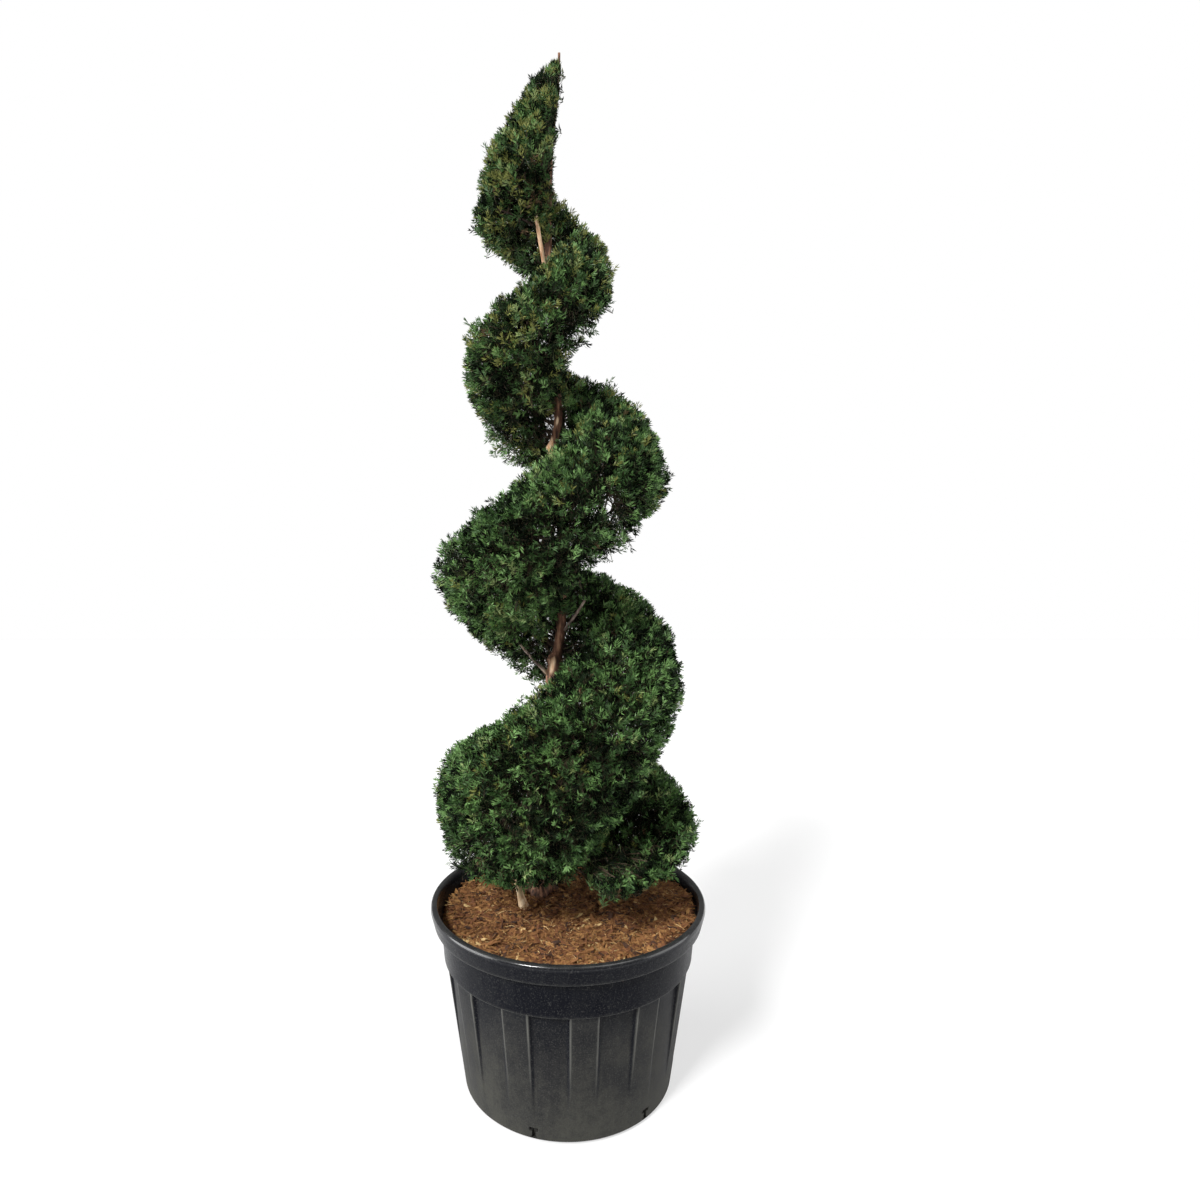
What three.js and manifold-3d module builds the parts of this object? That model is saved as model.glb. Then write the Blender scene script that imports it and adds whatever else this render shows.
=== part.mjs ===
// Spiral topiary: a yew clipped to a rising spiral round its bare trunk, in a round black nursery pot.
//
// Millimetres, +Z up, +X to the right, -Y to the front. The origin is the middle of the pot's flat
// underside. Every node is one closed faceted solid, and nothing on the plant moves.
import * as THREE from "three";
import { mergeVertices } from "three/addons/utils/BufferGeometryUtils.js";
import Module from "manifold-3d";

const wasm = await Module();
wasm.setup();

// ---- Driving dimensions --------------------------------------------------------------------------

const GAP = 0.4; // air between two solids that touch
const TAU = 2 * Math.PI;

const POT = {
  height: 444,
  rimRadius: 338, // outside of the rolled rim
  mouthRadius: 320, // inside of the rolled rim
  lipHeight: 46, // how far the rim hangs down outside
  lipUndercut: 15, // how far the rim stands out over the band below it
  bandRadius: 312, // top of the plain band below the rim
  bandFoot: 305,
  bandZ: 315, // lower edge of the band
  bodyRadius: 299, // top of the body below the band
  footRadius: 255,
  footRound: 7, // height of the rounded foot
  ribThickness: 14, // body wall where it isn't pressed in
  floor: 4,
  wall: 4,
  segments: 48,
};

const PANEL = { count: 12, halfAngle: 8.75, firstAngle: -8, topDepth: 10, lowZ: 60, footDepth: 1.5 };
const DRAIN = { count: 6, firstAngle: -17, width: 20, height: 25, bar: 8, stem: 9, lowZ: 9 };

const SOIL = { level: 415, flatRadius: 150, edgeZ: 407 };

// The trunk's middle line and its radius, from the soil to the tip of the leader.
const TRUNK_LINE = [
  // x, y, z
  [-70, 80, 415],
  [-52, 52, 560],
  [-36, 22, 760],
  [-35, 6, 960],
  [-16, 0, 1130],
  [-14, 0, 1300],
  [-34, 0, 1550],
  [-23, 0, 1620],
  [-33, 0, 1750],
  [-48, 0, 2050],
  [-42, 0, 2240],
  [-25, 0, 2400],
  [-21, 0, 2480],
];
const TRUNK = { flare: 20, flareHeight: 45, sides: 10, rings: 36 };
const TRUNK_GIRTH = [
  // the stem is slighter above the fork
  { z: 415, radius: 22 },
  { z: 990, radius: 19 },
  { z: 1070, radius: 12 },
  { z: 1600, radius: 10 },
  { z: 2050, radius: 8 },
  { z: 2480, radius: 3 },
];

// The middle line that the clipped spiral is wound round: x against height.
const SPIRAL_AXIS = [
  [400, -5],
  [600, -5],
  [1000, -12],
  [1250, -16],
  [1500, -27],
  [1720, -34],
  [2000, -43],
  [2150, -43],
  [2480, -22],
];

// Rows along the spiral, counted in turns from the right-hand side and rising to the back, the left
// and the front: height of the lobe's middle, its reach from the axis, its rise above and its depth
// below that middle, and how square its rounded outer edge is.
const LOBES = [
  { turn: -0.2, middle: 548, reach: 285, rise: 14, depth: 30, square: 2.4 },
  { turn: 0.0, middle: 615, reach: 320, rise: 172, depth: 100, square: 2.3 },
  { turn: 0.5, middle: 678, reach: 321, rise: 218, depth: 195, square: 2.3 },
  { turn: 0.68, middle: 790, reach: 309, rise: 205, depth: 348, square: 2.3 },
  { turn: 0.75, middle: 838, reach: 306, rise: 200, depth: 325, square: 2.3 },
  { turn: 1.0, middle: 1000, reach: 296, rise: 198, depth: 182, square: 2.4 },
  { turn: 1.5, middle: 1227, reach: 292, rise: 185, depth: 210, square: 1.9 },
  { turn: 2.0, middle: 1510, reach: 266, rise: 182, depth: 158, square: 2.4 },
  { turn: 2.5, middle: 1730, reach: 219, rise: 153, depth: 203, square: 1.9 },
  { turn: 3.0, middle: 1940, reach: 148, rise: 148, depth: 102, square: 2.5 },
  { turn: 3.25, middle: 2020, reach: 165, rise: 185, depth: 97, square: 2.0 },
  { turn: 3.5, middle: 2100, reach: 190, rise: 322, depth: 92, square: 1.55 },
  { turn: 3.75, middle: 2220, reach: 95, rise: 225, depth: 115, square: 1.6 },
];
const CROWN = {
  first: -0.2, // turn where the spiral starts, at the front
  last: 3.75, // turn where the top cone ends, at the front
  underside: 545, // the crown is clipped flat here, above the soil
  core: 3, // least distance from the spiral's axis
  steps: 8, // steps along a quarter turn
  points: 12, // steps round the outline of a section
  swell: 8, // unevenness of the clipped surface
};
const SECTORS = ["back_right", "back_left", "front_left", "front_right"];

// Bare boughs that show where the spiral opens: from a point inside the trunk to a point inside the
// mass that the bough feeds, with its radius at both ends.
const BOUGHS = [
  { name: "bough_top", from: [-46, -4, 1930], to: [-90, -50, 2170], radii: [5.5, 3.5] },
  { name: "bough_left", from: [-33, 0, 980], to: [-125, -35, 1085], radii: [5, 3] },
  { name: "bough_right", from: [-16, 0, 1095], to: [40, -45, 1180], radii: [4, 3] },
];
const STUB = { from: [-106, -20], to: [-146, 14], radii: [8, 6], flare: 8, flareHeight: 22 };

// ---- Finishes ------------------------------------------------------------------------------------

const finish = (color, roughness) => new THREE.MeshStandardMaterial({ color, roughness, metalness: 0 });
const PLASTIC = finish(0x34383a, 0.45);
const MULCH = finish(0x7c4a24, 0.95);
const BARK = finish(0x6e4630, 0.85);
const DEAD_WOOD = finish(0x9a8468, 0.8);
const FOLIAGE = finish(0x2c4720, 0.9);

// ---- Solids --------------------------------------------------------------------------------------

/** A closed geometry as a solid: only its positions count, and shared corners are merged. */
function solidOf(geometry) {
  const bare = geometry.clone();
  bare.deleteAttribute("normal");
  bare.deleteAttribute("uv");
  const merged = mergeVertices(bare, 1e-3);
  const vertProperties = new Float32Array(merged.attributes.position.array);
  const triVerts = new Uint32Array(merged.index.array);
  return new wasm.Manifold(new wasm.Mesh({ numProp: 3, vertProperties, triVerts }));
}

/** Rings of points joined each to the next, with a fan over both ends. */
function ringSolid(rings) {
  const count = rings[0].length;
  const points = rings.flat();
  const faces = [];
  for (let row = 0; row + 1 < rings.length; row++) {
    for (let k = 0; k < count; k++) {
      const a = row * count + k;
      const b = row * count + ((k + 1) % count);
      faces.push(a, b, b + count, a, b + count, a + count);
    }
  }
  for (const row of [0, rings.length - 1]) {
    const hub = points.length;
    const middle = new THREE.Vector3();
    rings[row].forEach((p) => middle.addScaledVector(p, 1 / count));
    points.push(middle);
    for (let k = 0; k < count; k++) {
      const a = row * count + k;
      const b = row * count + ((k + 1) % count);
      faces.push(hub, row ? a : b, row ? b : a);
    }
  }
  const geometry = new THREE.BufferGeometry().setFromPoints(points);
  geometry.setIndex(faces);
  return solidOf(geometry);
}

/** The largest of the pieces that a cut has left. */
function largest(solid) {
  return solid.decompose().reduce((best, piece) => (piece.volume() > best.volume() ? piece : best));
}

/** Cuts a solid back from a neighbour that is moved a gap's width each way, and keeps the main piece. */
function clearOf(solid, neighbour) {
  let rest = solid;
  for (const side of [-GAP, GAP]) {
    for (const shift of [[side, 0, 0], [0, side, 0], [0, 0, side]]) {
      rest = rest.subtract(neighbour.translate(shift));
    }
  }
  return largest(rest);
}

/** Adds a solid to the group as one named mesh. */
function addNode(parent, name, solid, material) {
  const made = solid.getMesh();
  const geometry = new THREE.BufferGeometry();
  geometry.setAttribute("position", new THREE.BufferAttribute(made.vertProperties.slice(), made.numProp));
  geometry.setIndex(new THREE.BufferAttribute(made.triVerts.slice(), 1));
  geometry.computeVertexNormals();
  const mesh = new THREE.Mesh(geometry, material);
  mesh.name = name;
  parent.add(mesh);
  return mesh;
}

/** A value between the rows of a table, eased so that it never runs past a row. */
function between(rows, key, value, at) {
  const last = rows.length - 1;
  const k = Math.min(Math.max(rows.findIndex((row) => row[key] > at) - 1, 0), last - 1);
  const row = at >= rows[last][key] ? last - 1 : k;
  const share = THREE.MathUtils.clamp((at - rows[row][key]) / (rows[row + 1][key] - rows[row][key]), 0, 1);
  const slope = (i) => {
    if (i === 0 || i === last) return 0;
    const before = (rows[i][value] - rows[i - 1][value]) / (rows[i][key] - rows[i - 1][key]);
    const after = (rows[i + 1][value] - rows[i][value]) / (rows[i + 1][key] - rows[i][key]);
    return before * after <= 0 ? 0 : (2 * before * after) / (before + after);
  };
  const width = rows[row + 1][key] - rows[row][key];
  const [s2, s3] = [share * share, share * share * share];
  return (
    rows[row][value] * (2 * s3 - 3 * s2 + 1) +
    rows[row + 1][value] * (3 * s2 - 2 * s3) +
    slope(row) * width * (s3 - 2 * s2 + share) +
    slope(row + 1) * width * (s3 - s2)
  );
}

// ---- Pot -----------------------------------------------------------------------------------------

/** A profile of [radius, height] pairs turned round the vertical axis. */
function turned(profile) {
  const points = profile.map(([r, z]) => new THREE.Vector2(r, z));
  return solidOf(new THREE.LatheGeometry(points, POT.segments).rotateX(Math.PI / 2));
}

const LIP_Z = POT.height - POT.lipHeight;
const CAVITY = [
  [POT.footRadius - POT.ribThickness, POT.floor],
  [POT.bodyRadius - POT.ribThickness, POT.bandZ - 5],
  [POT.bandFoot - POT.wall, POT.bandZ + 8],
  [POT.bandRadius - POT.wall, LIP_Z],
  [POT.mouthRadius, POT.height - 6],
];

/** Radius of the cavity at a height. */
function cavityRadius(z) {
  const above = CAVITY.findIndex(([, height]) => height >= z);
  const [[r0, z0], [r1, z1]] = [CAVITY[above - 1], CAVITY[above]];
  return r0 + ((r1 - r0) * (z - z0)) / (z1 - z0);
}

/** Wedge that presses one flat panel into the body, deepest at its top. */
function panelCutter(angle) {
  const box = new THREE.BoxGeometry(2, 2, 2);
  const corners = box.attributes.position;
  const spread = Math.tan(THREE.MathUtils.degToRad(PANEL.halfAngle));
  for (let k = 0; k < corners.count; k++) {
    const top = corners.getZ(k) > 0;
    const z = top ? POT.bandZ - 3 : PANEL.lowZ;
    const skin = THREE.MathUtils.lerp(POT.footRadius, POT.bodyRadius, z / POT.bandZ);
    const face = skin - (top ? PANEL.topDepth : PANEL.footDepth);
    const out = corners.getY(k) < 0 ? POT.rimRadius + 30 : face;
    corners.setXYZ(k, corners.getX(k) * out * spread, -out, z);
  }
  box.rotateZ(THREE.MathUtils.degToRad(angle));
  return solidOf(box);
}

/** T-shaped drain slot through the wall, just above the foot. */
function drainCutter(angle) {
  const { width, height, bar, stem, lowZ } = DRAIN;
  const slot = new THREE.Shape([
    new THREE.Vector2(-stem / 2, lowZ),
    new THREE.Vector2(stem / 2, lowZ),
    new THREE.Vector2(stem / 2, lowZ + height - bar),
    new THREE.Vector2(width / 2, lowZ + height - bar),
    new THREE.Vector2(width / 2, lowZ + height),
    new THREE.Vector2(-width / 2, lowZ + height),
    new THREE.Vector2(-width / 2, lowZ + height - bar),
    new THREE.Vector2(-stem / 2, lowZ + height - bar),
  ]);
  const depth = 2 * POT.ribThickness + 10;
  const cutter = new THREE.ExtrudeGeometry(slot, { depth, bevelEnabled: false });
  cutter.rotateX(Math.PI / 2);
  cutter.translate(0, depth - POT.footRadius - POT.ribThickness, 0);
  cutter.rotateZ(THREE.MathUtils.degToRad(angle));
  return solidOf(cutter);
}

function makePot() {
  const lipRadius = POT.bandRadius + POT.lipUndercut;
  let pot = turned([
    [0, 0],
    [POT.footRadius - 8, 0],
    [POT.footRadius, POT.footRound],
    [POT.bodyRadius, POT.bandZ - 2],
    [POT.bandFoot, POT.bandZ],
    [POT.bandRadius, LIP_Z],
    [lipRadius, LIP_Z + 2],
    [POT.rimRadius, POT.height - 12],
    [POT.rimRadius - 3, POT.height - 3],
    [POT.rimRadius - 8, POT.height],
    [POT.mouthRadius + 5, POT.height],
    ...CAVITY.toReversed(),
    [0, POT.floor],
  ]);
  for (let k = 0; k < PANEL.count; k++) {
    pot = pot.subtract(panelCutter(PANEL.firstAngle + (360 / PANEL.count) * k));
  }
  for (let k = 0; k < DRAIN.count; k++) {
    pot = pot.subtract(drainCutter(DRAIN.firstAngle + (360 / DRAIN.count) * k));
  }
  return pot;
}

/** Compost and mulch that fill the pot, level round the trunk and falling to the wall. */
function makeSoil() {
  const wall = CAVITY.filter(([, z]) => z < SOIL.edgeZ).map(([r, z]) => [r - GAP, Math.max(z, POT.floor + GAP)]);
  return turned([
    [0, POT.floor + GAP],
    ...wall,
    [cavityRadius(SOIL.edgeZ) - GAP, SOIL.edgeZ],
    [SOIL.flatRadius, SOIL.level],
    [0, SOIL.level],
  ]);
}

// ---- Trunk and boughs ----------------------------------------------------------------------------

const TRUNK_PATH = new THREE.CatmullRomCurve3(TRUNK_LINE.map((p) => new THREE.Vector3(...p)));

/** The trunk from its flat cut on the soil to the tip of the leader, made wider by `extra`. */
function makeTrunk(extra) {
  const rings = [];
  const foot = SOIL.level + GAP - extra;
  for (let row = 0; row <= TRUNK.rings; row++) {
    const share = row / TRUNK.rings;
    const middle = TRUNK_PATH.getPoint(share ** 1.15);
    const rise = middle.z - SOIL.level;
    const stem = between(TRUNK_GIRTH, "z", "radius", middle.z);
    const flare = TRUNK.flare * Math.exp(-rise / TRUNK.flareHeight);
    const ring = [];
    for (let k = 0; k < TRUNK.sides; k++) {
      const angle = (TAU * k) / TRUNK.sides;
      const radius = stem + flare * (1 + 0.35 * Math.cos(4 * angle + 0.6)) + extra;
      const x = middle.x + radius * Math.cos(angle);
      const y = middle.y + radius * Math.sin(angle);
      ring.push(new THREE.Vector3(x, y, Math.max(middle.z, foot)));
    }
    rings.push(ring);
  }
  return ringSolid(rings);
}

/** A tapering limb between two points, with an eight-sided section and a slight upward bend. */
function makeLimb(from, to, radii, flare = 0, flareHeight = 1) {
  const middle = from.clone().lerp(to, 0.5);
  middle.z -= 0.06 * from.distanceTo(to);
  const path = new THREE.QuadraticBezierCurve3(from, middle, to);
  const steps = 5;
  const frames = path.computeFrenetFrames(steps, false);
  const rings = [];
  for (let row = 0; row <= steps; row++) {
    const at = path.getPointAt(row / steps);
    const radius =
      THREE.MathUtils.lerp(...radii, row / steps) + flare * Math.exp(-from.distanceTo(at) / flareHeight);
    const ring = [];
    for (let k = 0; k < 8; k++) {
      const angle = (TAU * k) / 8;
      const point = at.clone();
      point.addScaledVector(frames.normals[row], radius * Math.cos(angle));
      point.addScaledVector(frames.binormals[row], radius * Math.sin(angle));
      ring.push(point);
    }
    rings.push(ring);
  }
  return ringSolid(rings);
}

// ---- Foliage -------------------------------------------------------------------------------------

/** Low bumps of the clipped surface, worked out from the turn and the place round a section. */
function swell(turn, lift) {
  const slow = Math.sin(TAU * 2.7 * turn + 1.1) * Math.cos(2 * lift);
  const quick = Math.sin(TAU * 5.3 * turn + 2.4 * lift);
  return CROWN.swell * (0.6 * slow + 0.5 * quick);
}

const AXIS_ROWS = SPIRAL_AXIS.map(([z, x]) => ({ z, x }));

/**
 * One section of the spiral: half a rounded superellipse that stands on the axis, taller than it is
 * deep, cut flat at the crown's underside. `shift` moves it along the spiral, to leave a gap.
 */
function section(turn, shift) {
  const lobe = {};
  for (const key of ["middle", "reach", "rise", "depth", "square"]) {
    lobe[key] = between(LOBES, "turn", key, turn);
  }
  const angle = TAU * turn;
  const ring = [];
  for (let k = 0; k <= CROWN.points; k++) {
    const lift = Math.PI / 2 - (Math.PI * k) / CROWN.points;
    const up = Math.sign(Math.sin(lift)) * Math.abs(Math.sin(lift)) ** (2 / lobe.square);
    const out = Math.abs(Math.cos(lift)) ** (2 / lobe.square);
    const z = Math.max(lobe.middle + up * (up > 0 ? lobe.rise : lobe.depth), CROWN.underside);
    const reach = Math.max(lobe.reach * out + swell(turn, lift) * Math.cos(lift), CROWN.core);
    const x = between(AXIS_ROWS, "z", "x", z) + reach * Math.cos(angle) - shift * Math.sin(angle);
    const y = reach * Math.sin(angle) + shift * Math.cos(angle);
    ring.push(new THREE.Vector3(x, y, z));
  }
  return ring;
}

/** One mass: the spiral between two turns, with the trunk's room cut out of it. */
function makeMass(start, end, trunkRoom) {
  const rings = [];
  for (let k = 0; k <= CROWN.steps; k++) {
    const shift = k === 0 ? GAP / 2 : k === CROWN.steps ? -GAP / 2 : 0;
    rings.push(section(THREE.MathUtils.lerp(start, end, k / CROWN.steps), shift));
  }
  return largest(ringSolid(rings).subtract(trunkRoom));
}

// ---- Assembly ------------------------------------------------------------------------------------

const topiary = new THREE.Group();
topiary.name = "spiral_topiary";

const potGroup = new THREE.Group();
potGroup.name = "potting";
topiary.add(potGroup);
addNode(potGroup, "pot", makePot(), PLASTIC);
addNode(potGroup, "soil", makeSoil(), MULCH);

const stems = new THREE.Group();
stems.name = "stems";
topiary.add(stems);
const trunkRoom = makeTrunk(GAP);
addNode(stems, "trunk", makeTrunk(0), BARK);

const crown = new THREE.Group();
crown.name = "crown";
topiary.add(crown);
const masses = [];
for (let quarter = Math.floor(4 * CROWN.first); quarter < 4 * CROWN.last; quarter++) {
  const name = `foliage_${Math.floor(quarter / 4) + 1}_${SECTORS[(quarter + 4) % 4]}`;
  const mass = makeMass(Math.max(quarter / 4, CROWN.first), (quarter + 1) / 4, trunkRoom);
  masses.push(mass);
  addNode(crown, name, mass, FOLIAGE);
}

// A bough is cut off where it leaves the trunk and where it enters its mass.
for (const { name, from, to, radii } of BOUGHS) {
  const limb = makeLimb(new THREE.Vector3(...from), new THREE.Vector3(...to), radii);
  addNode(stems, name, masses.reduce(clearOf, largest(limb.subtract(trunkRoom))), BARK);
}

// The low stub stands on the soil and ends under the crown's flat underside.
const stubFoot = new THREE.Vector3(...STUB.from, SOIL.level - 20);
const stubTop = new THREE.Vector3(...STUB.to, CROWN.underside + 30);
const bed = solidOf(new THREE.BoxGeometry(400, 400, 200).translate(0, 0, SOIL.level + GAP - 100));
const lid = solidOf(new THREE.BoxGeometry(400, 400, 200).translate(0, 0, CROWN.underside - GAP + 100));
const stub = makeLimb(stubFoot, stubTop, STUB.radii, STUB.flare, STUB.flareHeight);
addNode(stems, "low_stub", largest(stub.subtract(bed).subtract(lid)), DEAD_WOOD);

export default topiary;
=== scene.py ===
import math

import bpy
import numpy as np
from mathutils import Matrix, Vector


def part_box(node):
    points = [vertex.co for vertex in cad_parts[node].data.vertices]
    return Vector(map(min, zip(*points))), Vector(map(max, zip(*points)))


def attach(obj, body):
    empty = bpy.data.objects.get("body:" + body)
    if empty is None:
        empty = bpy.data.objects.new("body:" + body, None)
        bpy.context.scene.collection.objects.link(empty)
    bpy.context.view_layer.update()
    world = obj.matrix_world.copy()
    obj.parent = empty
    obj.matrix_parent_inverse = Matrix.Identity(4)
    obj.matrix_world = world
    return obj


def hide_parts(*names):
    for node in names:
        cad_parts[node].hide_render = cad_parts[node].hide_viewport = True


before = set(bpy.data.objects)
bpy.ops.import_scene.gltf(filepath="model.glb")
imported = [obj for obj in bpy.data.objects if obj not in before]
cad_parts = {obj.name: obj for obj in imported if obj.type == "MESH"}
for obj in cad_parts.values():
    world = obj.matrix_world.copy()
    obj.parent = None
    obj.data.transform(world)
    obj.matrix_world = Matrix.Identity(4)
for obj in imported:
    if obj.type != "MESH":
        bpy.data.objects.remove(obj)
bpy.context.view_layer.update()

# ---------------------------------------------------------------------------------------------------
# Studio. A plain pale floor under an even white sky, a large soft lamp high on the left, a weaker
# one on the right, and a broad low panel of light on both sides. The camera stands in front, at the
# height of the middle turn.
CAMERA_AT = (0.0, -1.931, 1.335)
CAMERA_PITCH = 2.5  # degrees below level
CAMERA_LENS, CAMERA_SENSOR = 23.73, 36
CAMERA_SHIFT_X, CAMERA_SHIFT_Y = 0.0267, -0.025

camera_data = bpy.data.cameras.new("camera")
camera_data.sensor_width = CAMERA_SENSOR
camera_data.lens = CAMERA_LENS
camera_data.shift_x = CAMERA_SHIFT_X
camera_data.shift_y = CAMERA_SHIFT_Y
camera = bpy.data.objects.new("camera", camera_data)
camera.location = CAMERA_AT
camera.rotation_euler = (math.radians(90 - CAMERA_PITCH), 0, 0)
bpy.context.scene.collection.objects.link(camera)
bpy.context.scene.camera = camera
bpy.context.scene.view_settings.view_transform = "Standard"


def plain_finish(name, colour, roughness, **sockets):
    """A finish of one colour all over, set straight on the shader's sockets."""
    finish = bpy.data.materials.new(name)
    finish.use_nodes = True
    shader = finish.node_tree.nodes["Principled BSDF"]
    shader.inputs["Base Color"].default_value = (*colour, 1)
    shader.inputs["Roughness"].default_value = roughness
    for socket, value in sockets.items():
        shader.inputs[socket.replace("_", " ")].default_value = value
    return finish


def mesh_piece(name, points, faces, finishes, tones=None, smooth=False):
    """One mesh at the origin from an array of points and a list of face arrays, each with a row of
    point numbers for every face. `tones` gives each face the number of its finish."""
    mesh = bpy.data.meshes.new(name)
    points = np.ascontiguousarray(points, np.float32).reshape(-1, 3)
    mesh.vertices.add(len(points))
    mesh.vertices.foreach_set("co", points.ravel())
    corners = np.concatenate([np.ravel(f) for f in faces]).astype(np.int32)
    sizes = np.concatenate([np.full(len(f), np.shape(f)[1]) for f in faces])
    mesh.loops.add(len(corners))
    mesh.loops.foreach_set("vertex_index", corners)
    mesh.polygons.add(len(sizes))
    starts = np.concatenate([[0], np.cumsum(sizes)[:-1]]).astype(np.int32)
    mesh.polygons.foreach_set("loop_start", starts)
    for finish in finishes:
        mesh.materials.append(finish)
    if tones is not None:
        mesh.polygons.foreach_set("material_index", np.asarray(tones, np.int32))
    mesh.polygons.foreach_set("use_smooth", np.full(len(sizes), smooth))
    mesh.update(calc_edges=True)
    piece = bpy.data.objects.new(name, mesh)
    bpy.context.scene.collection.objects.link(piece)
    return piece


FLOOR_HALF = 8.0
floor_corners = FLOOR_HALF * np.array([[-1, -1, 0], [1, -1, 0], [1, 1, 0], [-1, 1, 0]])
FLOOR_VEIL = 0.55  # how much of its own white the camera sees over the floor's shade
floor_paint = plain_finish("floor_paint", (0.9, 0.9, 0.9), 0.8)
floor_nodes = floor_paint.node_tree.nodes
veil_glow = floor_nodes.new("ShaderNodeEmission")
veil_seen = floor_nodes.new("ShaderNodeLightPath")
veil_share = floor_nodes.new("ShaderNodeMath")
veil_share.operation = "MULTIPLY"
veil_share.inputs[1].default_value = FLOOR_VEIL
veil = floor_nodes.new("ShaderNodeMixShader")
join = floor_paint.node_tree.links.new
join(veil_seen.outputs["Is Camera Ray"], veil_share.inputs[0])
join(veil_share.outputs[0], veil.inputs["Fac"])
join(floor_nodes["Principled BSDF"].outputs["BSDF"], veil.inputs[1])
join(veil_glow.outputs["Emission"], veil.inputs[2])
join(veil.outputs["Shader"], floor_nodes["Material Output"].inputs["Surface"])
floor = mesh_piece("floor", floor_corners, [np.array([[0, 1, 2, 3]])], [floor_paint])

SKY_LIGHT = 0.20  # what the sky gives the object, while the camera sees it plain white

world = bpy.data.worlds.new("studio")
world.use_nodes = True
sky_nodes = world.node_tree.nodes
sky_light = sky_nodes["Background"]
sky_light.inputs["Color"].default_value = (1, 1, 1, 1)
sky_light.inputs["Strength"].default_value = SKY_LIGHT
backdrop = sky_nodes.new("ShaderNodeBackground")
backdrop.inputs["Color"].default_value = (1, 1, 1, 1)
seen = sky_nodes.new("ShaderNodeLightPath")
choice = sky_nodes.new("ShaderNodeMixShader")
join = world.node_tree.links.new
join(seen.outputs["Is Camera Ray"], choice.inputs["Fac"])
join(sky_light.outputs["Background"], choice.inputs[1])
join(backdrop.outputs["Background"], choice.inputs[2])
join(choice.outputs["Shader"], sky_nodes["World Output"].inputs["Surface"])
bpy.context.scene.world = world


def soft_sun(name, bearing, height, softness, strength):
    """A far lamp whose light comes from a bearing (degrees from the front, + to the right) and a
    height (degrees above level), spread over a disc `softness` degrees wide."""
    sun_data = bpy.data.lights.new(name, "SUN")
    sun_data.energy = strength
    sun_data.angle = math.radians(softness)
    sun = bpy.data.objects.new(name, sun_data)
    sun.rotation_euler = (math.radians(90 - height), 0, math.radians(bearing))
    bpy.context.scene.collection.objects.link(sun)


LAMPS = [  # name, bearing, height, softness, strength
    ("key_sun", -34, 42, 12, 3.5),
    ("second_sun", 55, 62, 30, 0.8),
    ("left_panel", -82, 14, 45, 3.5),
    ("right_panel", 84, 14, 45, 1.5),
]
for lamp in LAMPS:
    soft_sun(*lamp)

# ---------------------------------------------------------------------------------------------------
# Pot. A black injection-moulded container: rolled rim with a hanging lip, a plain band, and a body
# with twelve pressed panels that die out above the foot, where six T-shaped slots let water out.
POT_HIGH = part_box("pot")[1]
POT_HEIGHT = POT_HIGH.z
RIM_RADIUS = POT_HIGH.x
MOUTH_RADIUS = RIM_RADIUS - 0.018
LIP_Z = POT_HEIGHT - 0.046
LEDGE_Z = 0.315
BAND_TOP, BAND_FOOT = RIM_RADIUS - 0.026, RIM_RADIUS - 0.033
BODY_TOP, BODY_FOOT = RIM_RADIUS - 0.039, 0.255
INNER_FLOOR = 0.385  # the wall's inside runs down to here, under the soil
PANELS, PANEL_HALF, PANEL_FIRST, PANEL_DEPTH, PANEL_FOOT = 12, 8.75, -8.0, 0.010, 0.055
DRAINS, DRAIN_FIRST, DRAIN_DEPTH = 6, -17.0, 0.009
DRAIN_FOOT, DRAIN_TOE_TOP, DRAIN_STEM_TOP, DRAIN_TOP = 0.0085, 0.0130, 0.0262, 0.0340
DRAIN_STEM, DRAIN_BAR, DRAIN_TOE = 0.0043, 0.0100, 0.0070  # half widths
UNDER_LEDGE = LEDGE_Z - 0.0014
LINE_STEP = 0.006  # between the rows of the wall
EVEN_COLUMNS = 240  # round the pot, with more at the panels' edges and the slots
EDGE_COLUMNS = (-1.2, -0.8, -0.4, -0.05, 0.3, 0.6, 1.0)  # degrees past a panel's edge
PANEL_SLOPE = (1.2, 0.3)  # degrees within and past its edge over which a panel's side slopes
DRAIN_CUT = 0.0003  # half the thickness of a slot's side
DISC_RADIUS = 0.22  # the two flat discs need no rows inside this but their innermost
OUT_OF_ROUND = 0.0007
# How light the rubbed grey with its painted highlight is along the ribs' edges.
RIB_WEAR_AND_HIGHLIGHT = 0.75


def grid_faces(rows, cols, closed=True):
    """Four-cornered faces between the neighbours of a grid of points, the last column joined to the
    first where it is closed. They face out where columns run anticlockwise and rows run up."""
    row, col = np.meshgrid(np.arange(rows - 1), np.arange(cols if closed else cols - 1), indexing="ij")
    a = (row * cols + col).ravel()
    b = (row * cols + (col + 1) % cols).ravel()
    return np.stack([a, b, b + cols, a + cols], 1)


def rounded_line(corners, spacing):
    """A line through (radius, height, rounding) corners: each corner is an eased curve between the
    points its rounding away on both sides, and long stretches are cut into even steps."""
    corners = np.array(corners, float)
    points, rounding = corners[:, :2], corners[:, 2]
    line = [points[:1]]
    for k in range(1, len(points) - 1):
        before = points[k - 1] - points[k]
        after = points[k + 1] - points[k]
        start = points[k] + before / np.linalg.norm(before) * rounding[k]
        end = points[k] + after / np.linalg.norm(after) * rounding[k]
        share = np.linspace(0, 1, 7)[:, None]
        line.append((1 - share) ** 2 * start + 2 * share * (1 - share) * points[k] + share**2 * end)
    line.append(points[-1:])
    line = np.concatenate(line)
    steps = np.maximum(np.ceil(np.linalg.norm(np.diff(line, axis=0), axis=1) / spacing), 1).astype(int)
    dense = [a + (b - a) * np.arange(n)[:, None] / n for a, b, n in zip(line[:-1], line[1:], steps)]
    return np.concatenate(dense + [line[-1:]])


def eased_step(value, low, high):
    """0 below `low` and 1 above `high`, with an eased change between them."""
    share = np.clip((value - low) / (high - low), 0, 1)
    return share * share * (3 - 2 * share)


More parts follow.
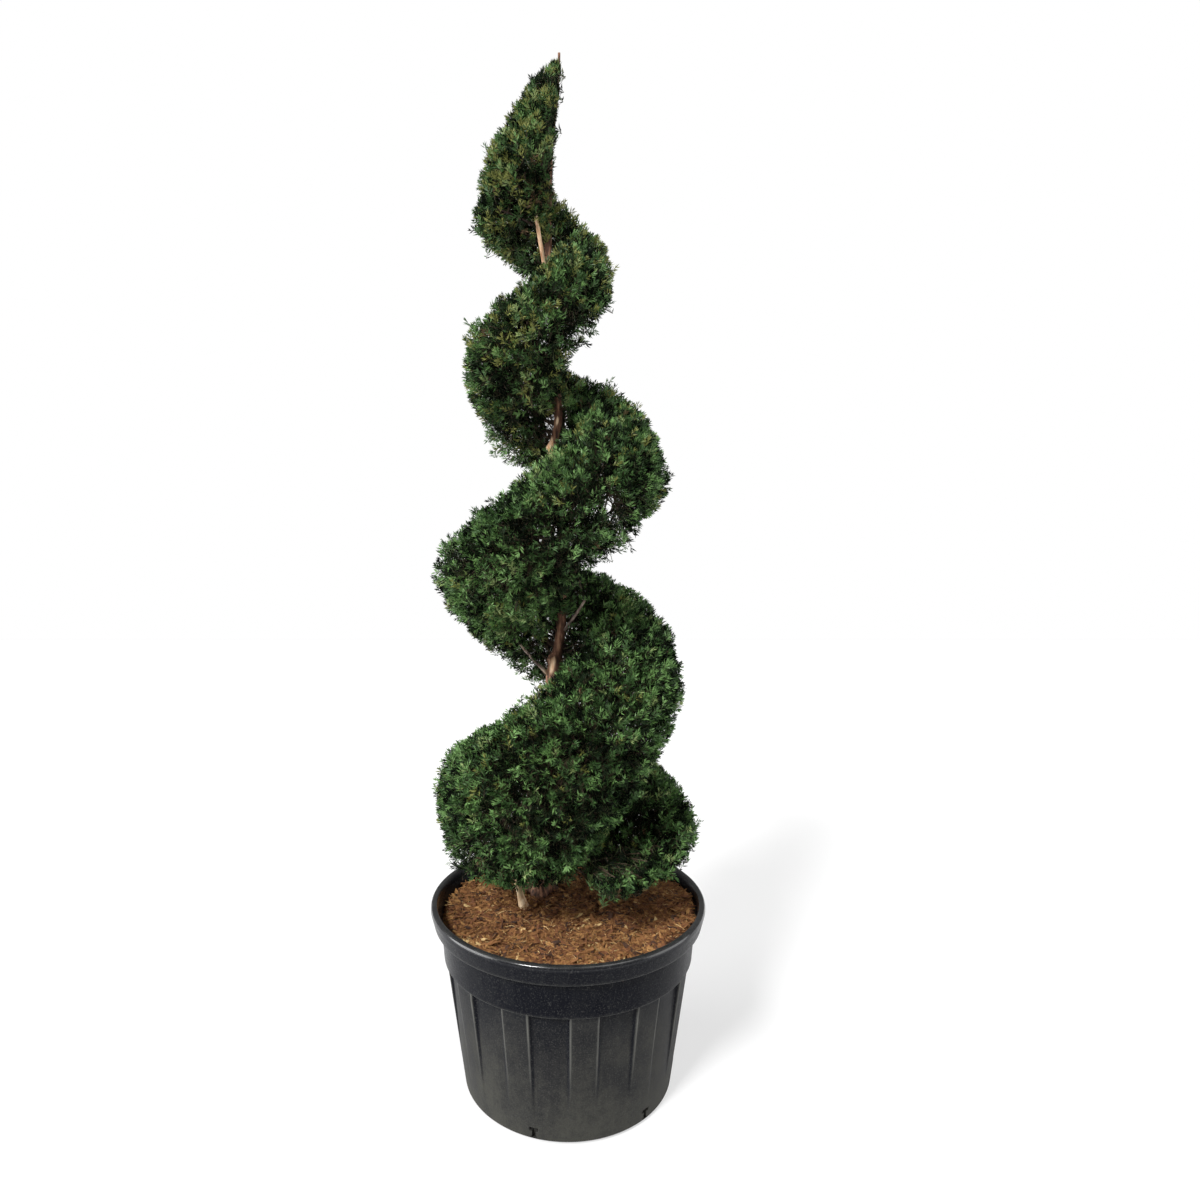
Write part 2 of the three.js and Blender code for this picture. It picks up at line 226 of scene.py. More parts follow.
def angle_from(bearing, first, count):
    """Angle in degrees to the nearest of `count` even places round the pot, the first at `first`."""
    gap = 360 / count
    return (bearing - first + gap / 2) % gap - gap / 2


pot_line = rounded_line(
    [
        (0.0005, 0.0, 0),
        (BODY_FOOT - 0.020, 0.0, 0.004),
        (BODY_FOOT - 0.017, 0.002, 0.001),
        (BODY_FOOT - 0.008, 0.0015, 0.003),
        (BODY_FOOT, 0.0075, 0.004),
        (BODY_TOP, LEDGE_Z - 0.002, 0.0012),
        (BAND_FOOT, LEDGE_Z, 0.0015),
        (BAND_TOP, LIP_Z - 0.002, 0.0015),
        (RIM_RADIUS - 0.010, LIP_Z + 0.001, 0.0025),
        (RIM_RADIUS, POT_HEIGHT - 0.008, 0.005),
        (RIM_RADIUS - 0.004, POT_HEIGHT, 0.0038),
        (MOUTH_RADIUS + 0.003, POT_HEIGHT, 0.0025),
        (MOUTH_RADIUS, POT_HEIGHT - 0.006, 0.003),
        (BAND_TOP - 0.004, LIP_Z + 0.010, 0.004),
        (BAND_TOP - 0.006, INNER_FLOOR, 0.001),
        (0.0005, INNER_FLOOR, 0),
    ],
    LINE_STEP,
)
drain_lines = np.array([DRAIN_FOOT, DRAIN_TOE_TOP, DRAIN_STEM_TOP, DRAIN_TOP])
drain_rows = np.sort(np.concatenate([drain_lines - DRAIN_CUT, drain_lines + DRAIN_CUT]))
body_rows = (pot_line[:, 1] > 0.008) & (pot_line[:, 1] < 0.035) & (pot_line[:, 0] > BODY_FOOT - 0.002)
slope = (BODY_TOP - BODY_FOOT) / (LEDGE_Z - 0.0095)
drain_points = np.stack([BODY_FOOT + slope * (drain_rows - 0.0075), drain_rows], 1)
first_body = np.argmax(body_rows)
above_drains = pot_line[first_body:][~body_rows[first_body:]]
pot_line = np.concatenate([pot_line[:first_body], drain_points, above_drains])
flat_middle = pot_line[:, 0] < DISC_RADIUS
flat_middle[[0, -1]] = False
pot_line = pot_line[~flat_middle]

panel_middles = PANEL_FIRST + np.arange(PANELS)[:, None] * 360 / PANELS
drain_middles = DRAIN_FIRST + np.arange(DRAINS)[:, None] * 360 / DRAINS
bearings = [np.linspace(0, 360, EVEN_COLUMNS, endpoint=False)]
for edge in EDGE_COLUMNS:
    bearings.append((panel_middles + [-PANEL_HALF - edge, PANEL_HALF + edge]).ravel())
for half in (DRAIN_STEM, DRAIN_BAR, DRAIN_TOE):
    edge = math.degrees(half / BODY_FOOT)
    bearings.append((drain_middles + [-edge - 0.05, -edge + 0.05, edge - 0.05, edge + 0.05]).ravel())
bearings = np.unique(np.round(np.concatenate(bearings) % 360, 4))

bearing, radius = np.meshgrid(bearings, pot_line[:, 0])
height = np.broadcast_to(pot_line[:, 1:2], radius.shape)
ledge_row = np.argmax(pot_line[:, 1] >= LEDGE_Z - 0.0005)
on_body = (np.arange(len(pot_line)) < ledge_row)[:, None] & (height > 0.004)
below_ledge = on_body * (height < UNDER_LEDGE)
panel_angle = np.abs(angle_from(bearing, PANEL_FIRST, PANELS))
panel = 1 - eased_step(panel_angle, PANEL_HALF - PANEL_SLOPE[0], PANEL_HALF + PANEL_SLOPE[1])
fade = np.clip((height - PANEL_FOOT) / (LEDGE_Z - PANEL_FOOT), 0, 1)
press = PANEL_DEPTH * fade * panel * below_ledge
drain_reach = np.abs(np.radians(angle_from(bearing, DRAIN_FIRST, DRAINS))) * BODY_FOOT
drain_half = np.where(height > DRAIN_STEM_TOP, DRAIN_BAR, DRAIN_STEM)
drain_half = np.where(height < DRAIN_TOE_TOP, DRAIN_TOE, drain_half)
in_drain = (drain_reach < drain_half) & (height > DRAIN_FOOT) & (height < DRAIN_TOP) & on_body
moulded = radius - press - DRAIN_DEPTH * in_drain
moulded = moulded + OUT_OF_ROUND * np.sin(np.radians(2 * bearing + 40)) * (height > 0.3)

# Where the plastic is rubbed grey, with a painted highlight laid on the same lines (ribs, ledge, lip and
# rim), and where painted shade darkens the panels' side walls and their tops under the ledge.
rib_edge = np.exp(-((panel_angle - PANEL_HALF - 0.35) / 0.40) ** 2) * eased_step(fade, 0.15, 0.7) * on_body
# Painted shade in the panels' side walls and at their tops under the ledge.
painted_recess_shade = np.exp(-((panel_angle - PANEL_HALF + 0.55) / 0.60) ** 2) * eased_step(fade, 0.05, 0.5)
painted_recess_shade = np.maximum(painted_recess_shade, 0.7 * panel * np.exp(-(LEDGE_Z - height) / 0.030)) * below_ledge
SHARP_RINGS = [  # height, spread, wear and painted highlight
    (LEDGE_Z - 0.001, 0.0016, 0.9),
    (LIP_Z + 0.001, 0.0022, 0.35),
    (POT_HEIGHT - 0.001, 0.003, 0.2),
]
wear_and_highlight = RIB_WEAR_AND_HIGHLIGHT * rib_edge * (height < LEDGE_Z - 0.002)
outer_wall = radius > BAND_FOOT - 0.008
for ring_z, ring_width, strength in SHARP_RINGS:
    wear_and_highlight = np.maximum(wear_and_highlight, strength * np.exp(-(((height - ring_z) / ring_width) ** 2)) * outer_wall)
turned_by = np.radians(bearing - 90)
pot_points = np.stack([moulded * np.cos(turned_by), moulded * np.sin(turned_by), height], -1)


def node_tools(finish):
    """Short ways to add a node and to join two sockets in a finish's or a group's node tree."""
    tree = finish.node_tree if hasattr(finish, "node_tree") else finish

    def add(kind, **settings):
        node = tree.nodes.new(kind)
        for key, value in settings.items():
            if hasattr(node, key):
                setattr(node, key, value)
            else:
                node.inputs[key.replace("_", " ")].default_value = value
        return node

    return add, tree.links.new


def ramp(add, stops):
    """A colour ramp node with (place, colour) stops."""
    node = add("ShaderNodeValToRGB")
    elements = node.color_ramp.elements
    while len(elements) < len(stops):
        elements.new(0.5)
    for element, (place, colour) in zip(elements, stops):
        element.position = place
        element.color = (*colour, 1)
    return node


def fine_grain_group():
    """Shared group: fine pits and specks of a moulded or weathered surface, on Object coordinates.
    Puts out a mask of specks and a height for a bump."""
    group = bpy.data.node_groups.new("fine_grain", "ShaderNodeTree")
    group.interface.new_socket("Size", in_out="INPUT", socket_type="NodeSocketFloat")
    group.interface.new_socket("Specks", in_out="OUTPUT", socket_type="NodeSocketFloat")
    group.interface.new_socket("Height", in_out="OUTPUT", socket_type="NodeSocketFloat")
    add, link = node_tools(group)
    entry, leave = add("NodeGroupInput"), add("NodeGroupOutput")
    place = add("ShaderNodeTexCoord")
    coarse = add("ShaderNodeTexNoise", Detail=4.0, Roughness=0.65)
    fine = add("ShaderNodeTexNoise", Detail=2.0, Roughness=0.5)
    double = add("ShaderNodeMath", operation="MULTIPLY")
    double.inputs[1].default_value = 3.7
    for noise in (coarse, fine):
        link(place.outputs["Object"], noise.inputs["Vector"])
    link(entry.outputs["Size"], coarse.inputs["Scale"])
    link(entry.outputs["Size"], double.inputs[0])
    link(double.outputs[0], fine.inputs["Scale"])
    specks = add("ShaderNodeMapRange", From_Min=0.56, From_Max=0.68)
    link(fine.outputs["Fac"], specks.inputs["Value"])
    link(specks.outputs["Result"], leave.inputs["Specks"])
    blend = add("ShaderNodeMath", operation="ADD")
    link(coarse.outputs["Fac"], blend.inputs[0])
    link(fine.outputs["Fac"], blend.inputs[1])
    link(blend.outputs[0], leave.inputs["Height"])
    return group


fine_grain = fine_grain_group()


def pot_plastic_finish():
    """Black plastic: blue-black and smoother on the rim and band, glossy on top of the rim, dull
    with dried dust below the ledge and more so towards the foot, with fine specks and faint streaks
    down the wall. Edges are rubbed grey, lightened further as a painted highlight, where the piece's
    own attribute of wear and highlight says so, and painted shade darkens the panels' side walls and
    their tops under the ledge, where its attribute of recess shade says so."""
    finish = bpy.data.materials.new("pot_plastic")
    finish.use_nodes = True
    add, link = node_tools(finish)
    shader = finish.node_tree.nodes["Principled BSDF"]
    place = add("ShaderNodeTexCoord")
    split = add("ShaderNodeSeparateXYZ")
    link(place.outputs["Object"], split.inputs[0])
    dust = [(0.0, 0.95), (0.25, 0.72), (0.68, 0.52), (0.715, 0.10), (1.0, 0.04)]  # share of height, dust
    by_height = ramp(add, [(place, (grey,) * 3) for place, grey in dust])
    share = add("ShaderNodeMath", operation="DIVIDE")
    share.inputs[1].default_value = POT_HEIGHT
    link(split.outputs["Z"], share.inputs[0])
    link(share.outputs[0], by_height.inputs["Fac"])
    clouds = add("ShaderNodeTexNoise", Scale=9.0, Detail=8.0, Roughness=0.68)
    link(place.outputs["Object"], clouds.inputs["Vector"])
    stretch = add("ShaderNodeMapping")
    stretch.inputs["Scale"].default_value = (42, 42, 3.0)
    streaks = add("ShaderNodeTexNoise", Scale=1.0, Detail=5.0, Roughness=0.65)
    link(place.outputs["Object"], stretch.inputs["Vector"])
    link(stretch.outputs[0], streaks.inputs["Vector"])
    grain = add("ShaderNodeGroup", node_tree=fine_grain)
    grain.inputs["Size"].default_value = 95
    recess_shade = add("ShaderNodeAttribute", attribute_name="painted_recess_shade")
    dust_and_shade = by_height.outputs["Color"]
    mixture = [  # what changes the dust and the painted shade, how strongly, its middle value
        (clouds.outputs["Fac"], 1.0, 0.5),
        (streaks.outputs["Fac"], 0.45, 0.5),
        (grain.outputs["Height"], 0.42, 1.0),
        # Painted shade: darker plastic in the panels' side walls and at their tops under the ledge.
        (recess_shade.outputs["Fac"], -0.6, 0.0),
    ]
    for source, weight, usual in mixture:
        centred = add("ShaderNodeMath", operation="MULTIPLY_ADD")
        centred.inputs[1].default_value = weight
        centred.inputs[2].default_value = -usual * weight
        link(source, centred.inputs[0])
        total = add("ShaderNodeMath", operation="ADD")
        link(dust_and_shade, total.inputs[0])
        link(centred.outputs[0], total.inputs[1])
        dust_and_shade = total.outputs[0]
    colour = ramp(
        add,
        [(0.0, (0.0018, 0.0022, 0.0046)), (0.3, (0.0054, 0.0060, 0.0080)), (0.62, (0.0172, 0.0172, 0.0172)),
         (1.0, (0.0405, 0.0400, 0.0345))],
    )
    link(dust_and_shade, colour.inputs["Fac"])
    speckled = add("ShaderNodeMix", data_type="RGBA")
    speck_share = add("ShaderNodeMath", operation="MULTIPLY")
    speck_share.inputs[1].default_value = 0.55
    link(grain.outputs["Specks"], speck_share.inputs[0])
    link(speck_share.outputs[0], speckled.inputs["Factor"])
    link(colour.outputs["Color"], speckled.inputs["A"])
    speckled.inputs["B"].default_value = (0.042, 0.042, 0.040, 1)
    wear_and_highlight = add("ShaderNodeAttribute", attribute_name="wear_and_highlight")
    # Rubbed grey that is also a painted highlight: lighter lines along the ribs' edges, the ledge, the lip
    # and the rim.
    rubbed_and_highlit = add("ShaderNodeMix", data_type="RGBA")
    rubbed_and_highlit_share = add("ShaderNodeMath", operation="MULTIPLY")
    link(wear_and_highlight.outputs["Fac"], rubbed_and_highlit_share.inputs[0])
    link(streaks.outputs["Fac"], rubbed_and_highlit_share.inputs[1])
    link(rubbed_and_highlit_share.outputs[0], rubbed_and_highlit.inputs["Factor"])
    link(speckled.outputs["Result"], rubbed_and_highlit.inputs["A"])
    rubbed_and_highlit.inputs["B"].default_value = (0.19, 0.19, 0.17, 1)
    link(rubbed_and_highlit.outputs["Result"], shader.inputs["Base Color"])
    dull = add("ShaderNodeMapRange", To_Min=0.27, To_Max=0.60)
    link(dust_and_shade, dull.inputs["Value"])
    low, high = POT_HEIGHT - 0.022, POT_HEIGHT - 0.010
    smoother = add("ShaderNodeMapRange", From_Min=low, From_Max=high, To_Min=1.0, To_Max=0.62)
    link(split.outputs["Z"], smoother.inputs["Value"])
    roughness = add("ShaderNodeMath", operation="MULTIPLY")
    link(dull.outputs["Result"], roughness.inputs[0])
    link(smoother.outputs["Result"], roughness.inputs[1])
    link(roughness.outputs[0], shader.inputs["Roughness"])
    low, high = POT_HEIGHT - 0.012, POT_HEIGHT - 0.003
    glint = add("ShaderNodeMapRange", From_Min=low, From_Max=high, To_Min=0.0, To_Max=0.80)
    link(split.outputs["Z"], glint.inputs["Value"])
    link(glint.outputs["Result"], shader.inputs["Coat Weight"])
    shader.inputs["Coat Roughness"].default_value = 0.18
    shader.inputs["Specular IOR Level"].default_value = 0.06
    bump = add("ShaderNodeBump", Strength=0.5, Distance=0.0008)
    link(grain.outputs["Height"], bump.inputs["Height"])
    link(bump.outputs["Normal"], shader.inputs["Normal"])
    return finish


rows, cols = radius.shape
pot_faces = [
    grid_faces(rows, cols),
    np.arange(cols)[None, ::-1],
    (np.arange(cols) + (rows - 1) * cols)[None],
]
pot = mesh_piece("pot_shell", pot_points, pot_faces, [pot_plastic_finish()], smooth=True)
pot.data.set_sharp_from_angle(angle=math.radians(38))
for name, amount in (("wear_and_highlight", wear_and_highlight), ("painted_recess_shade", painted_recess_shade)):
    stored = pot.data.attributes.new(name, "FLOAT", "POINT")
    stored.data.foreach_set("value", np.ascontiguousarray(amount, np.float32).ravel())
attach(pot, "root")
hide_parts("pot")

# ---------------------------------------------------------------------------------------------------
# Dark compost under a top dressing of shredded bark: an uneven bed with small heaps, and thousands
# of flat chips and a litter of thin fibres spread evenly over it, lying loose at every angle.
SOIL_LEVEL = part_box("soil")[1].z
BED_RADIUS = BAND_TOP - 0.0055
BED_FALL = 0.010  # how much lower the bed lies at the wall
BED_HEAP = 0.018  # and how much higher on the right
BED_BUMP, BED_CRUMB = 0.007, 0.004  # heights of its broad and small lumps
BED_RINGS, BED_COLUMNS = 100, 240
CHIPS, FIBRES = 12500, 9000
CHIP_TILT, FIBRE_TILT = 0.25, 0.35  # how far they lean, in radians
LARGE_CHIPS = 0.02  # share of the chips that are large


def lumps(points, size, seed):
    """Smooth lumps between -1 and 1: random values at the corners of a grid of cubes with edges of
    `size`, blended inside each cube by eased shares."""
    scaled = np.asarray(points, float) / size + 1000
    cell = np.floor(scaled).astype(np.int64)
    share = scaled - cell
    share = share * share * (3 - 2 * share)
    total = 0
    for corner in np.ndindex(2, 2, 2):
        key = (cell + corner) * np.array([73856093, 19349663, 83492791])
        mixed = (key[..., 0] ^ key[..., 1] ^ key[..., 2] ^ (seed * 2654435)) & 0xFFFFFFFF
        mixed = ((mixed ^ (mixed >> 13)) * 1274126177) & 0xFFFFFFFF
        value = ((mixed ^ (mixed >> 16)) & 0xFFFFFF) / 0x7FFFFF - 1
        total = total + np.prod(np.where(corner, share, 1 - share), axis=-1) * value
    return total


def bed_height(x, y):
    """Height of the bed: level in the middle, falling to the wall, with heaps and small lumps."""
    flat = np.stack([x, y, np.zeros_like(x)], -1)
    fall = BED_FALL * eased_step(np.hypot(x, y), 0.15, BED_RADIUS) - BED_HEAP * eased_step(x, 0.12, 0.30)
    return SOIL_LEVEL - 0.004 - fall + BED_BUMP * lumps(flat, 0.07, 3) + BED_CRUMB * lumps(flat, 0.018, 4)


bed_angle, bed_radius = np.meshgrid(
    np.linspace(0, 2 * np.pi, BED_COLUMNS, endpoint=False), np.linspace(BED_RADIUS, 0.001, BED_RINGS)
)
bed_x, bed_y = bed_radius * np.cos(bed_angle), bed_radius * np.sin(bed_angle)
bed_top = np.stack([bed_x, bed_y, bed_height(bed_x, bed_y)], -1)
bed_side = bed_top[:1].copy()
bed_side[..., 2] = INNER_FLOOR + 0.001
bed_points = np.concatenate([bed_side, bed_top])


def compost_finish():
    """Dark crumbly compost: brown to nearly black by noise, with a rough bump."""
    finish = bpy.data.materials.new("compost")
    finish.use_nodes = True
    add, link = node_tools(finish)
    shader = finish.node_tree.nodes["Principled BSDF"]
    shader.inputs["Roughness"].default_value = 0.95
    grain = add("ShaderNodeGroup", node_tree=fine_grain)
    grain.inputs["Size"].default_value = 90
    colour = ramp(add, [(0.35, (0.05, 0.021, 0.009)), (0.62, (0.12, 0.050, 0.019))])
    half = add("ShaderNodeMath", operation="MULTIPLY")
    half.inputs[1].default_value = 0.5
    link(grain.outputs["Height"], half.inputs[0])
    link(half.outputs[0], colour.inputs["Fac"])
    link(colour.outputs["Color"], shader.inputs["Base Color"])
    bump = add("ShaderNodeBump", Strength=0.9, Distance=0.003)
    link(grain.outputs["Height"], bump.inputs["Height"])
    link(bump.outputs["Normal"], shader.inputs["Normal"])
    return finish


bed_rows, bed_cols = bed_points.shape[:2]
bed = mesh_piece(
    "compost_bed",
    bed_points,
    [grid_faces(bed_rows, bed_cols), (np.arange(bed_cols) + (bed_rows - 1) * bed_cols)[None],
     np.arange(bed_cols)[None, ::-1]],
    [compost_finish()],
    smooth=True,
)
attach(bed, "root")
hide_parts("soil")


def unit(vectors):
    """Vectors brought to length one."""
    return vectors / np.maximum(np.linalg.norm(vectors, axis=-1, keepdims=True), 1e-9)


def strewn(count, rng, tilt):
    """Places spread evenly over the bed with a long axis for each, which is level but for a random
    tilt, and a second axis across it."""
    reach = (BED_RADIUS - 0.004) * np.sqrt(rng.random(count))
    turn = rng.random(count) * 2 * np.pi
    x, y = reach * np.cos(turn), reach * np.sin(turn)
    heading = rng.random(count) * 2 * np.pi
    lean = rng.normal(0, tilt, count)
    along = np.stack([np.cos(heading) * np.cos(lean), np.sin(heading) * np.cos(lean), np.sin(lean)], -1)
    side = unit(np.stack([-np.sin(heading), np.cos(heading), rng.normal(0, tilt, count)], -1))
    return np.stack([x, y, bed_height(x, y)], -1), along, side


MULCH_TONES = [
    ("mulch_dark", (0.048, 0.019, 0.008)),
    ("mulch_red", (0.132, 0.048, 0.015)),
    ("mulch_brown", (0.200, 0.085, 0.025)),
    ("mulch_tan", (0.310, 0.158, 0.050)),
    ("mulch_straw", (0.540, 0.375, 0.165)),
]
mulch_finishes = [plain_finish(name, colour, 0.9) for name, colour in MULCH_TONES]

rng = np.random.default_rng(11)
at, along, side = strewn(CHIPS, rng, CHIP_TILT)
long = (0.005 + 0.015 * rng.random(CHIPS) ** 2)[:, None, None]
wide = (0.0014 + 0.0034 * rng.random(CHIPS) ** 1.5)[:, None, None]
large = (rng.random(CHIPS) < LARGE_CHIPS)[:, None, None]
long, wide = np.where(large, long + 0.008, long), np.where(large, wide + 0.0015, wide)
thick = (0.0005 + 0.0010 * rng.random(CHIPS))[:, None, None]
square = np.array([[-1, -1], [1, -1], [1, 1], [-1, 1]])
corner = np.column_stack([np.tile(square, (2, 1)), np.repeat([-1, 1], 4)])
spread = corner[None] * (1 + rng.normal(0, 0.22, (CHIPS, 8, 3)))
up = unit(np.cross(along, side))
lift = (rng.random(CHIPS) * 0.008)[:, None]
centre = at + up * lift
chip_points = (
    centre[:, None]
    + spread[..., :1] * long * along[:, None]
    + spread[..., 1:2] * wide * side[:, None]
    + spread[..., 2:] * thick * up[:, None]
)
block = np.array([[0, 3, 2, 1], [4, 5, 6, 7], [0, 1, 5, 4], [1, 2, 6, 5], [2, 3, 7, 6], [3, 0, 4, 7]])
chip_faces = (block[None] + 8 * np.arange(CHIPS)[:, None, None]).reshape(-1, 4)
patch = lumps(at, 0.05, 8) * 0.7 + rng.normal(0, 0.85, CHIPS)
chip_tone = np.digitize(patch, [-1.0, -0.1, 0.75, 1.75])
chips = mesh_piece("mulch_chips", chip_points, [chip_faces], mulch_finishes, np.repeat(chip_tone, 6))
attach(chips, "root")


def tubes(paths, radii, sides):
    """Thin round limbs, all with the same number of steps: rings of points square to each path's
    direction, `radii` wide, joined into tubes with closed ends."""
    count, steps = paths.shape[:2]
    ahead = unit(np.gradient(paths, axis=1))
    helper = np.where(np.abs(ahead[..., 2:]) > 0.9, [1.0, 0.0, 0.0], [0.0, 0.0, 1.0])
    first = unit(np.cross(helper, ahead))
    second = np.cross(ahead, first)
    angle = np.arange(sides) * 2 * np.pi / sides
    ring = first[:, :, None] * np.cos(angle)[:, None] + second[:, :, None] * np.sin(angle)[:, None]
    points = paths[:, :, None] + ring * np.asarray(radii)[..., None, None]
    own = (np.arange(count) * steps * sides)[:, None, None]
    wall = (grid_faces(steps, sides)[None] + own).reshape(-1, 4)
    ends = np.arange(sides)
    caps = np.stack([ends[::-1], ends + (steps - 1) * sides])[None] + own
    return points.reshape(-1, 3), [wall, caps.reshape(-1, sides)]


def arcs(start, middle, end, steps):
    """Paths that leave `start`, bend towards `middle` and reach `end`, by weights that add to one."""
    share = np.linspace(0, 1, steps)[None, :, None]
    bent = 2 * share * (1 - share) * middle[:, None]
    return (1 - share) ** 2 * start[:, None] + bent + share**2 * end[:, None]


at, along, side = strewn(FIBRES, rng, FIBRE_TILT)
half = (0.005 + 0.014 * rng.random(FIBRES) ** 1.5)[:, None]
at = at + np.array([0, 0, 1]) * (0.001 + 0.009 * rng.random(FIBRES))[:, None]
bend = at + side * half * rng.normal(0, 0.25, (FIBRES, 1)) + np.array([0, 0, 0.3]) * half
fibre_paths = arcs(at - along * half, bend, at + along * half, 3)
fibre_radii = (0.0004 + 0.0007 * rng.random(FIBRES))[:, None] * np.array([0.8, 1.0, 0.4])
fibre_points, fibre_faces = tubes(fibre_paths, fibre_radii, 3)
fibre_tone = np.digitize(rng.normal(0.25, 0.8, FIBRES), [-1.0, -0.3, 0.6, 1.5])
tones = np.concatenate([np.repeat(fibre_tone, 6), np.repeat(fibre_tone, 2)])
fibres = mesh_piece("mulch_fibres", fibre_points, fibre_faces, mulch_finishes, tones)
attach(fibres, "root")

# ---------------------------------------------------------------------------------------------------
# Trunk. One stem from the soil to the leader's tip, slighter above the lowest fork, with a root
# flare, slow bends, knots where boughs were cut, and flaky red-brown bark that has peeled to pale
# wood in patches.
TRUNK_LOW, TRUNK_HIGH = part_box("trunk")
TRUNK_LINE = [  # height, x, y
    (0.415, -0.070, 0.080),
    (0.560, -0.052, 0.052),
    (0.760, -0.036, 0.022),
    (0.960, -0.035, 0.006),
    (1.130, -0.016, 0.000),
    (1.300, -0.014, 0.000),
    (1.550, -0.034, 0.000),
    (1.620, -0.023, 0.000),
    (1.750, -0.033, 0.000),
    (2.050, -0.048, 0.000),
    (2.240, -0.042, 0.000),
    (2.400, -0.025, 0.000),
    (2.480, -0.021, 0.000),
]
TRUNK_GIRTH = [  # height, radius
    (0.415, 0.022),
    (0.990, 0.019),
    (1.070, 0.012),
    (1.600, 0.010),
    (2.050, 0.008),
    (2.480, 0.003),
]
FLARE, FLARE_HEIGHT = 0.020, 0.045
TRUNK_RINGS, TRUNK_SIDES = 1000, 56
KNOTS = [(1.545, 3.60, 0.010), (1.035, 3.50, 0.008), (1.205, 5.60, 0.005)]  # height, bearing, size
PEELED = [  # height, bearing round the trunk, half height and half width of a patch without bark
    (1.016, 4.20, 0.030, 0.55),
    (1.200, 4.70, 0.012, 0.50),
    (1.548, 4.05, 0.026, 0.80),
    (1.612, 4.60, 0.012, 0.40),
    (1.200, 1.20, 0.030, 0.60),
    (0.800, 2.60, 0.040, 0.60),
]


def eased_rows(rows, at):
    """Values between a table's rows, its first column the place: cubic curves whose slope at a row
    is the harmonic mean of the slopes on both sides, so that they never run past a row."""
    rows = np.asarray(rows, float)
    key, values = rows[:, 0], rows[:, 1:]
    at = np.asarray(at, float)
    width = np.diff(key)
    step = np.diff(values, axis=0) / width[:, None]
    slope = np.zeros_like(values)
    product, total = step[:-1] * step[1:], step[:-1] + step[1:]
    slope[1:-1] = np.where(product > 0, 2 * product / np.where(total == 0, 1, total), 0)
    k = np.clip(np.searchsorted(key, at, side="right") - 1, 0, len(key) - 2)
    s = np.clip((at - key[k]) / width[k], 0, 1)[..., None]
    w = width[k][..., None]
    return (
        values[k] * (2 * s**3 - 3 * s**2 + 1)
        + values[k + 1] * (3 * s**2 - 2 * s**3)
        + slope[k] * w * (s**3 - 2 * s**2 + s)
        + slope[k + 1] * w * (s**3 - s**2)
    )


def trunk_middle(z):
    """Middle of the trunk at a height."""
    return np.concatenate([eased_rows(TRUNK_LINE, z), np.asarray(z, float)[..., None]], -1)


def trunk_radius(z):
    """Radius of the trunk at a height, without the root flare: slighter above the fork."""
    return eased_rows(TRUNK_GIRTH, z)[..., 0]


def bark_relief(points, girth):
    """Height of the bark: long flakes and furrows along the limb, finer fibres on them, and broad
    swellings, all smaller on a thinner limb."""
    long_way = points * np.array([1, 1, 0.16])
    furrow = 1 - np.abs(lumps(long_way, 0.009, 21)) * 1.6
    flake = lumps(long_way, 0.0045, 22)
    fibre = lumps(points * np.array([1, 1, 0.08]), 0.0018, 23)
    swell = lumps(points, 0.05, 24)
    return girth * (0.05 * furrow + 0.035 * flake + 0.02 * fibre + 0.09 * swell)


def bark_finish(name, stops, roughness):
    """Flaky bark: colours by long streaks of noise on Object coordinates, pale where the piece's
    own `peel` attribute says that the bark is off, dark in its furrows."""
    finish = bpy.data.materials.new(name)
    finish.use_nodes = True
    add, link = node_tools(finish)
    shader = finish.node_tree.nodes["Principled BSDF"]
    shader.inputs["Roughness"].default_value = roughness
    place = add("ShaderNodeTexCoord")
    stretch = add("ShaderNodeMapping")
    stretch.inputs["Scale"].default_value = (1, 1, 0.18)
    streak = add("ShaderNodeTexNoise", Scale=120.0, Detail=6.0, Roughness=0.65)
    link(place.outputs["Object"], stretch.inputs["Vector"])
    link(stretch.outputs[0], streak.inputs["Vector"])
    colour = ramp(add, stops)
    link(streak.outputs["Fac"], colour.inputs["Fac"])
    peel = add("ShaderNodeAttribute", attribute_name="peel")
    pale = ramp(add, [(0.38, (0.60, 0.30, 0.14)), (0.62, (0.95, 0.76, 0.52))])
    link(streak.outputs["Fac"], pale.inputs["Fac"])
    peeled = add("ShaderNodeMix", data_type="RGBA")
    link(peel.outputs["Fac"], peeled.inputs["Factor"])
    link(colour.outputs["Color"], peeled.inputs["A"])
    link(pale.outputs["Color"], peeled.inputs["B"])
    link(peeled.outputs["Result"], shader.inputs["Base Color"])
    bump = add("ShaderNodeBump", Strength=0.8, Distance=0.0015)
    link(streak.outputs["Fac"], bump.inputs["Height"])
    link(bump.outputs["Normal"], shader.inputs["Normal"])
    return finish


BARK = [(0.36, (0.030, 0.014, 0.009)), (0.5, (0.135, 0.060, 0.034)), (0.64, (0.36, 0.19, 0.11))]
bark = bark_finish("bark", BARK, 0.85)


def mark_peel(piece, amount):
    """Stores how far the bark is off at each point of a piece."""
    attribute = piece.data.attributes.new("peel", "FLOAT", "POINT")
    attribute.data.foreach_set("value", np.asarray(amount, np.float32).ravel())


